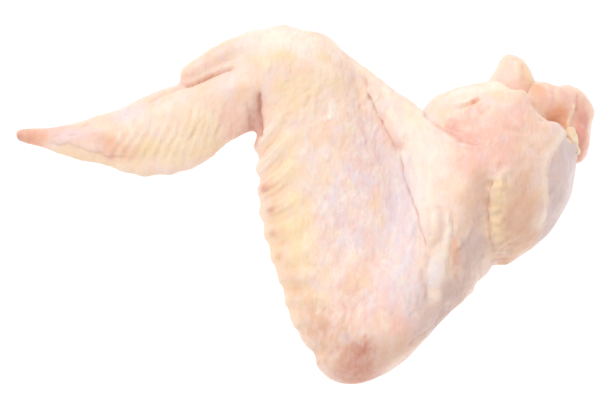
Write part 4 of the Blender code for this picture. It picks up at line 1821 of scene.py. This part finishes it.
@dataclass
class ShoulderMeat:
    """The wet flesh that shows inside the shoulder cut."""

    plan: Plan
    cut: ShoulderCut
    voxel: float = 0.4
    smoothing: int = 24
    depth: float = 8.0
    swell: float = 0.75
    finish: MeatFinish = field(default_factory=MeatFinish)
    lumps: tuple[Lumps, ...] = (Lumps(4.0, 0.35, 2.2), Lumps(1.8, 0.12, 4.4))

    patches: tuple[Patch, ...] = (
        Patch(Tint.ORANGE, (0.936, 0.703), 4.0, 1.8, -15, 0.6),
        Patch(Tint.ORANGE, (0.936, 0.735), 2.6, 1.6, 70, 0.6),
        Patch(Tint.ORANGE, (0.895, 0.785), 3.0, 1.6, -20, 0.7),
        Patch(Tint.BLUSH, (0.908, 0.735), 5.0, 2.5, -60, 0.3),
        # Painted light, lifting the shade where the flesh curves away from the light.
        Patch(Tint.CREAM_AND_HIGHLIGHT, (0.900, 0.728), 4.0, 2.0, -60, 0.4),
        Patch(Tint.BRICK, (0.980, 0.690), 7.0, 2.4, 85, 0.9),
        Patch(Tint.BRICK, (0.972, 0.640), 4.0, 2.2, 75, 0.8),
        Patch(Tint.BLUSH, (0.957, 0.765), 2.6, 1.8, 0, 0.6),
        Patch(Tint.CREAM_AND_HIGHLIGHT, (0.984, 0.752), 2.0, 2.0, 0, 0.3),
        Patch(Tint.MAUVE_AND_SHADE, (0.952, 0.775), 2.0, 1.2, 0, 0.3),
    )
    folds: tuple[Fold, ...] = (
        Fold(
            ((0.965, 0.750), (0.961, 0.727), (0.957, 0.710), (0.953, 0.683)),
            -0.7, 0.6, Tint.CREAM_AND_HIGHLIGHT, 0.9, 0.55, blunt=0.1,
        ),
        Fold(((0.972, 0.775), (0.971, 0.750), (0.969, 0.725)), 0.4, 0.7, Tint.BRICK, 0.4, 0.8),
        Fold(((0.988, 0.735), (0.985, 0.690), (0.978, 0.640)), 0.3, 0.5, Tint.BRICK, 0.4, 0.6),
        Fold(((0.926, 0.765), (0.924, 0.740), (0.918, 0.715)), -0.4, 0.8, Tint.BLUSH, 0.4, 0.8),
        Fold(
            ((0.918, 0.705), (0.934, 0.694), (0.951, 0.690)),
            0.3, 0.8, Tint.BRICK, 0.2, 0.7, blunt=0.08,
        ),
    )
    # The pocket's orange is partly the flesh's own red and partly painted shade in the hollow.
    pocket: Dimple = Dimple((0.938, 0.720), 0.35, 2.4, Tint.ORANGE, 0.7)
    neck: Dimple = Dimple((0.893, 0.787), -0.3, 2.4, Tint.ORANGE, 0.6)

    def build(self) -> bpy.types.Object:
        """Make the flesh and dress it.

        Returns:
            The piece.
        """
        flesh, bone = merged_copy("drumette_meat", "cut_meat"), merged_copy("humerus_bone", "core_bone")
        swell(flesh, self.swell)
        for part in (flesh, bone):
            self.cut.keep(part, self.depth, beyond=True)
        piece = join("cut_meat", [flesh, bone])
        resurface(piece, self.voxel, self.smoothing)
        relief = Relief(piece, self.plan)
        relief.roughen(self.lumps)
        for hollow in (self.pocket, self.neck):
            relief.dimple(hollow)
        relief.write()
        relief.dress(self.folds, self.patches)
        finish_piece(piece, self.finish.material(), "meat", "drumette_meat")
        return piece


@dataclass
class GristleKnob:
    """The gristle that caps the bone's end, standing out of the cut."""

    plan: Plan
    cut: ShoulderCut
    voxel: float = 0.35
    smoothing: int = 20
    depth: float = 8.0
    swell: float = 0.45
    finish: GristleFinish = field(default_factory=GristleFinish)
    lumps: tuple[Lumps, ...] = (Lumps(5.0, 0.4, 8.2),)

    patches: tuple[Patch, ...] = (
        Patch(Tint.BLUSH, (0.846, 0.812), 4.0, 2.4, 70, 0.6),
        Patch(Tint.BUTTER, (0.881, 0.832), 5.0, 1.6, 100, 0.8),
        Patch(Tint.ORANGE, (0.890, 0.782), 3.5, 2.2, -30, 0.9),
        Patch(Tint.BLUSH, (0.868, 0.780), 2.5, 1.5, 0, 0.5),
    )
    folds: tuple[Fold, ...] = (
        # The cream on the raised line is partly painted highlight, and the orange groove beside it partly
        # painted shade.
        Fold(((0.866, 0.862), (0.866, 0.830), (0.868, 0.790)), -0.3, 0.8, Tint.CREAM_AND_HIGHLIGHT, 0.7, 0.8),
        Fold(((0.875, 0.850), (0.877, 0.820), (0.878, 0.790)), 0.25, 0.7, Tint.ORANGE, 0.25, 0.9),
        Fold(((0.852, 0.850), (0.852, 0.820), (0.850, 0.790)), 0.15, 0.8),
    )

    def build(self) -> bpy.types.Object:
        """Make the knob and dress it.

        Returns:
            The piece.
        """
        piece = merged_copy("humerus_bone", "gristle_knob")
        self.cut.keep(piece, self.depth, beyond=True)
        resurface(piece, self.voxel, self.smoothing)
        swell(piece, self.swell)
        relief = Relief(piece, self.plan)
        relief.roughen(self.lumps)
        relief.dress(self.folds, self.patches)
        finish_piece(piece, self.finish.material(), "gristle", "humerus_bone")
        return piece


@dataclass
class FatTag:
    """The loose strip of pale yellow fat that hangs from the cut, along the skin's torn edge.

    Its middle follows the places, on a smooth curve over what lies below it. Cling is the
    share of the tallest bump below that lifts the curve. Lengths are in millimetres.
    """

    plan: Plan
    rings: int = 36
    sides: int = 20
    half_width: float = 1.45
    half_depth: float = 1.1
    across: Place = (0.95, 0.3)
    least_radius: float = 0.2
    cling: float = 0.4
    # Two waves along the strip: how far each goes, how fast it turns, and where it starts.
    waves: tuple[tuple[float, float, float], ...] = ((0.15, 15.0, 0.0), (0.08, 31.0, 1.0))
    girth: Trend = Trend((0.0, 0.08, 0.3, 0.6, 0.92, 1.0), (0.1, 0.8, 1.0, 0.75, 0.5, 0.1))
    finish: FatFinish = field(default_factory=FatFinish)

    places: tuple[Place, ...] = (
        (0.953, 0.690), (0.959, 0.672), (0.962, 0.648), (0.965, 0.622), (0.969, 0.600),
    )

    def build(self, base: Sequence[bpy.types.Object]) -> bpy.types.Object:
        """Make the strip and dress it.

        Args:
            base: The pieces that it lies on.

        Returns:
            The piece.
        """
        bpy.ops.mesh.primitive_uv_sphere_add(segments=self.sides, ring_count=self.rings, radius=1.0)
        piece = bpy.context.object
        piece.name = "fat_tag"
        path = self.plan.path(self.places)
        shares = np.linspace(0.0, 1.0, len(path))
        heights = self.heights(path, shares, base)
        for vertex in piece.data.vertices:
            share = (1.0 - vertex.co.z) / 2
            x, y = [np.interp(share, shares, path[:, axis]) for axis in (0, 1)]
            girth = self.girth.at(share) / max(math.hypot(vertex.co.x, vertex.co.y), self.least_radius)
            across = vertex.co.x * girth * self.half_width
            rise = vertex.co.y * girth * self.half_depth
            wave = sum(size * math.sin(share * pace + start) for size, pace, start in self.waves)
            x += across * self.across[0] + wave
            y += across * self.across[1]
            vertex.co = Vector((x, y, np.interp(share, shares, heights) + rise)) * MM
        apply_modifier(piece, "SUBSURF", levels=1, render_levels=1)
        finish_piece(piece, self.finish.material(), "skin")
        return piece

    def heights(
        self,
        path: np.ndarray,
        shares: np.ndarray,
        base: Sequence[bpy.types.Object],
    ) -> np.ndarray:
        """Return how high the strip's middle lies along its path.

        Args:
            path: The path's points in millimetres.
            shares: Each point's share of the way along it.
            base: The pieces that the strip lies on.

        Returns:
            The heights in millimetres.
        """
        tops = np.array([self.height(point, base) for point in path])
        bow = np.polyval(np.polyfit(shares, tops, 2), shares)
        return bow + self.cling * np.max(tops - bow)

    def height(self, point: np.ndarray, base: Sequence[bpy.types.Object]) -> float:
        """Return how high the top of some pieces is at a point.

        Args:
            point: The point seen from above, in millimetres.
            base: The pieces.

        Returns:
            The height in millimetres, or the floor's where there is none of them.
        """
        start = Vector((point[0] * MM, point[1] * MM, CAD_HIGH.z * 2))
        hits = [item.ray_cast(start, Vector((0, 0, -1))) for item in base]
        return max((spot.z for found, spot, _normal, _face in hits if found), default=CAD_LOW.z) / MM


@dataclass(frozen=True)
class Softbox:
    """A square lamp that faces the wing: its place from there and its width in metres, and its watts."""

    name: str
    away: tuple[float, float, float]
    width: float
    power: float


@dataclass
class Studio:
    """A pale floor, soft light from the upper left, and a camera that looks well down on the wing."""

    elevation: float = 75.0
    lens: float = 120.0
    sensor: float = 36.0
    lengths_away: float = 3.496
    aim: tuple[float, float, float] = (0.507, 0.493, 0.288)
    floor_size: float = 4.0
    sky: float = 0.84
    near_clip: float = 0.01
    lamps: tuple[Softbox, ...] = (
        Softbox("key_softbox", (-0.55, 0.40, 0.75), 0.40, 2.6),
        Softbox("back_softbox", (-0.10, 0.70, 0.45), 0.30, 0.5),
    )
    finish: FloorFinish = field(default_factory=FloorFinish)

    def build(self) -> None:
        """Make the floor, lights and camera."""
        self.floor()
        self.lights()
        self.camera()
        bpy.context.scene.view_settings.view_transform = "Standard"

    def target(self) -> Vector:
        """Return the point on the wing that the camera looks at."""
        return box_point(self.aim)

    def floor(self) -> None:
        """Make the floor that the wing rests on."""
        bpy.ops.object.select_all(action="DESELECT")
        bpy.ops.mesh.primitive_plane_add(size=self.floor_size, location=(0, 0, CAD_LOW.z))
        item = bpy.context.object
        item.name = "studio_floor"
        bpy.ops.object.transform_apply(location=True, rotation=True, scale=True)
        item.data.materials.append(self.finish.material())

    def lights(self) -> None:
        """Make the white surroundings and the lamps."""
        world = bpy.data.worlds.new("white_room")
        world.use_nodes = True
        world.node_tree.nodes["Background"].inputs["Color"].default_value = (1, 1, 1, 1)
        world.node_tree.nodes["Background"].inputs["Strength"].default_value = self.sky
        bpy.context.scene.world = world
        for softbox in self.lamps:
            self.lamp(softbox)

    def lamp(self, softbox: Softbox) -> None:
        """Make one lamp.

        Args:
            softbox: Its place, width and power.
        """
        away = Vector(softbox.away)
        bpy.ops.object.light_add(type="AREA", location=self.target() + away)
        lamp = bpy.context.object
        lamp.name = softbox.name
        lamp.rotation_euler = away.to_track_quat("Z", "Y").to_euler()
        lamp.data.size = softbox.width
        lamp.data.energy = softbox.power

    def camera(self) -> None:
        """Make the camera."""
        rise = math.radians(self.elevation)
        away = Vector((0, -math.cos(rise), math.sin(rise)))
        distance = (CAD_HIGH - CAD_LOW).x * self.lengths_away
        bpy.ops.object.camera_add(location=self.target() + away * distance)
        camera = bpy.context.object
        camera.rotation_euler = away.to_track_quat("Z", "Y").to_euler()
        camera.data.lens = self.lens
        camera.data.sensor_width = self.sensor
        camera.data.clip_start = self.near_clip
        bpy.context.scene.camera = camera


def main() -> None:
    """Build every part of the wing and the studio."""
    logging.basicConfig(level=logging.INFO, format="%(name)s %(message)s")
    span = CAD_HIGH - CAD_LOW
    plan = Plan(np.array(CAD_LOW[:2]) / MM, np.array(span[:2]) / MM)
    cut = ShoulderCut()
    skin, meat, _knob = [part(plan, cut).build() for part in (WingSkin, ShoulderMeat, GristleKnob)]
    FatTag(plan).build((skin, meat))
    Studio().build()


if __name__ == "__main__":
    main()
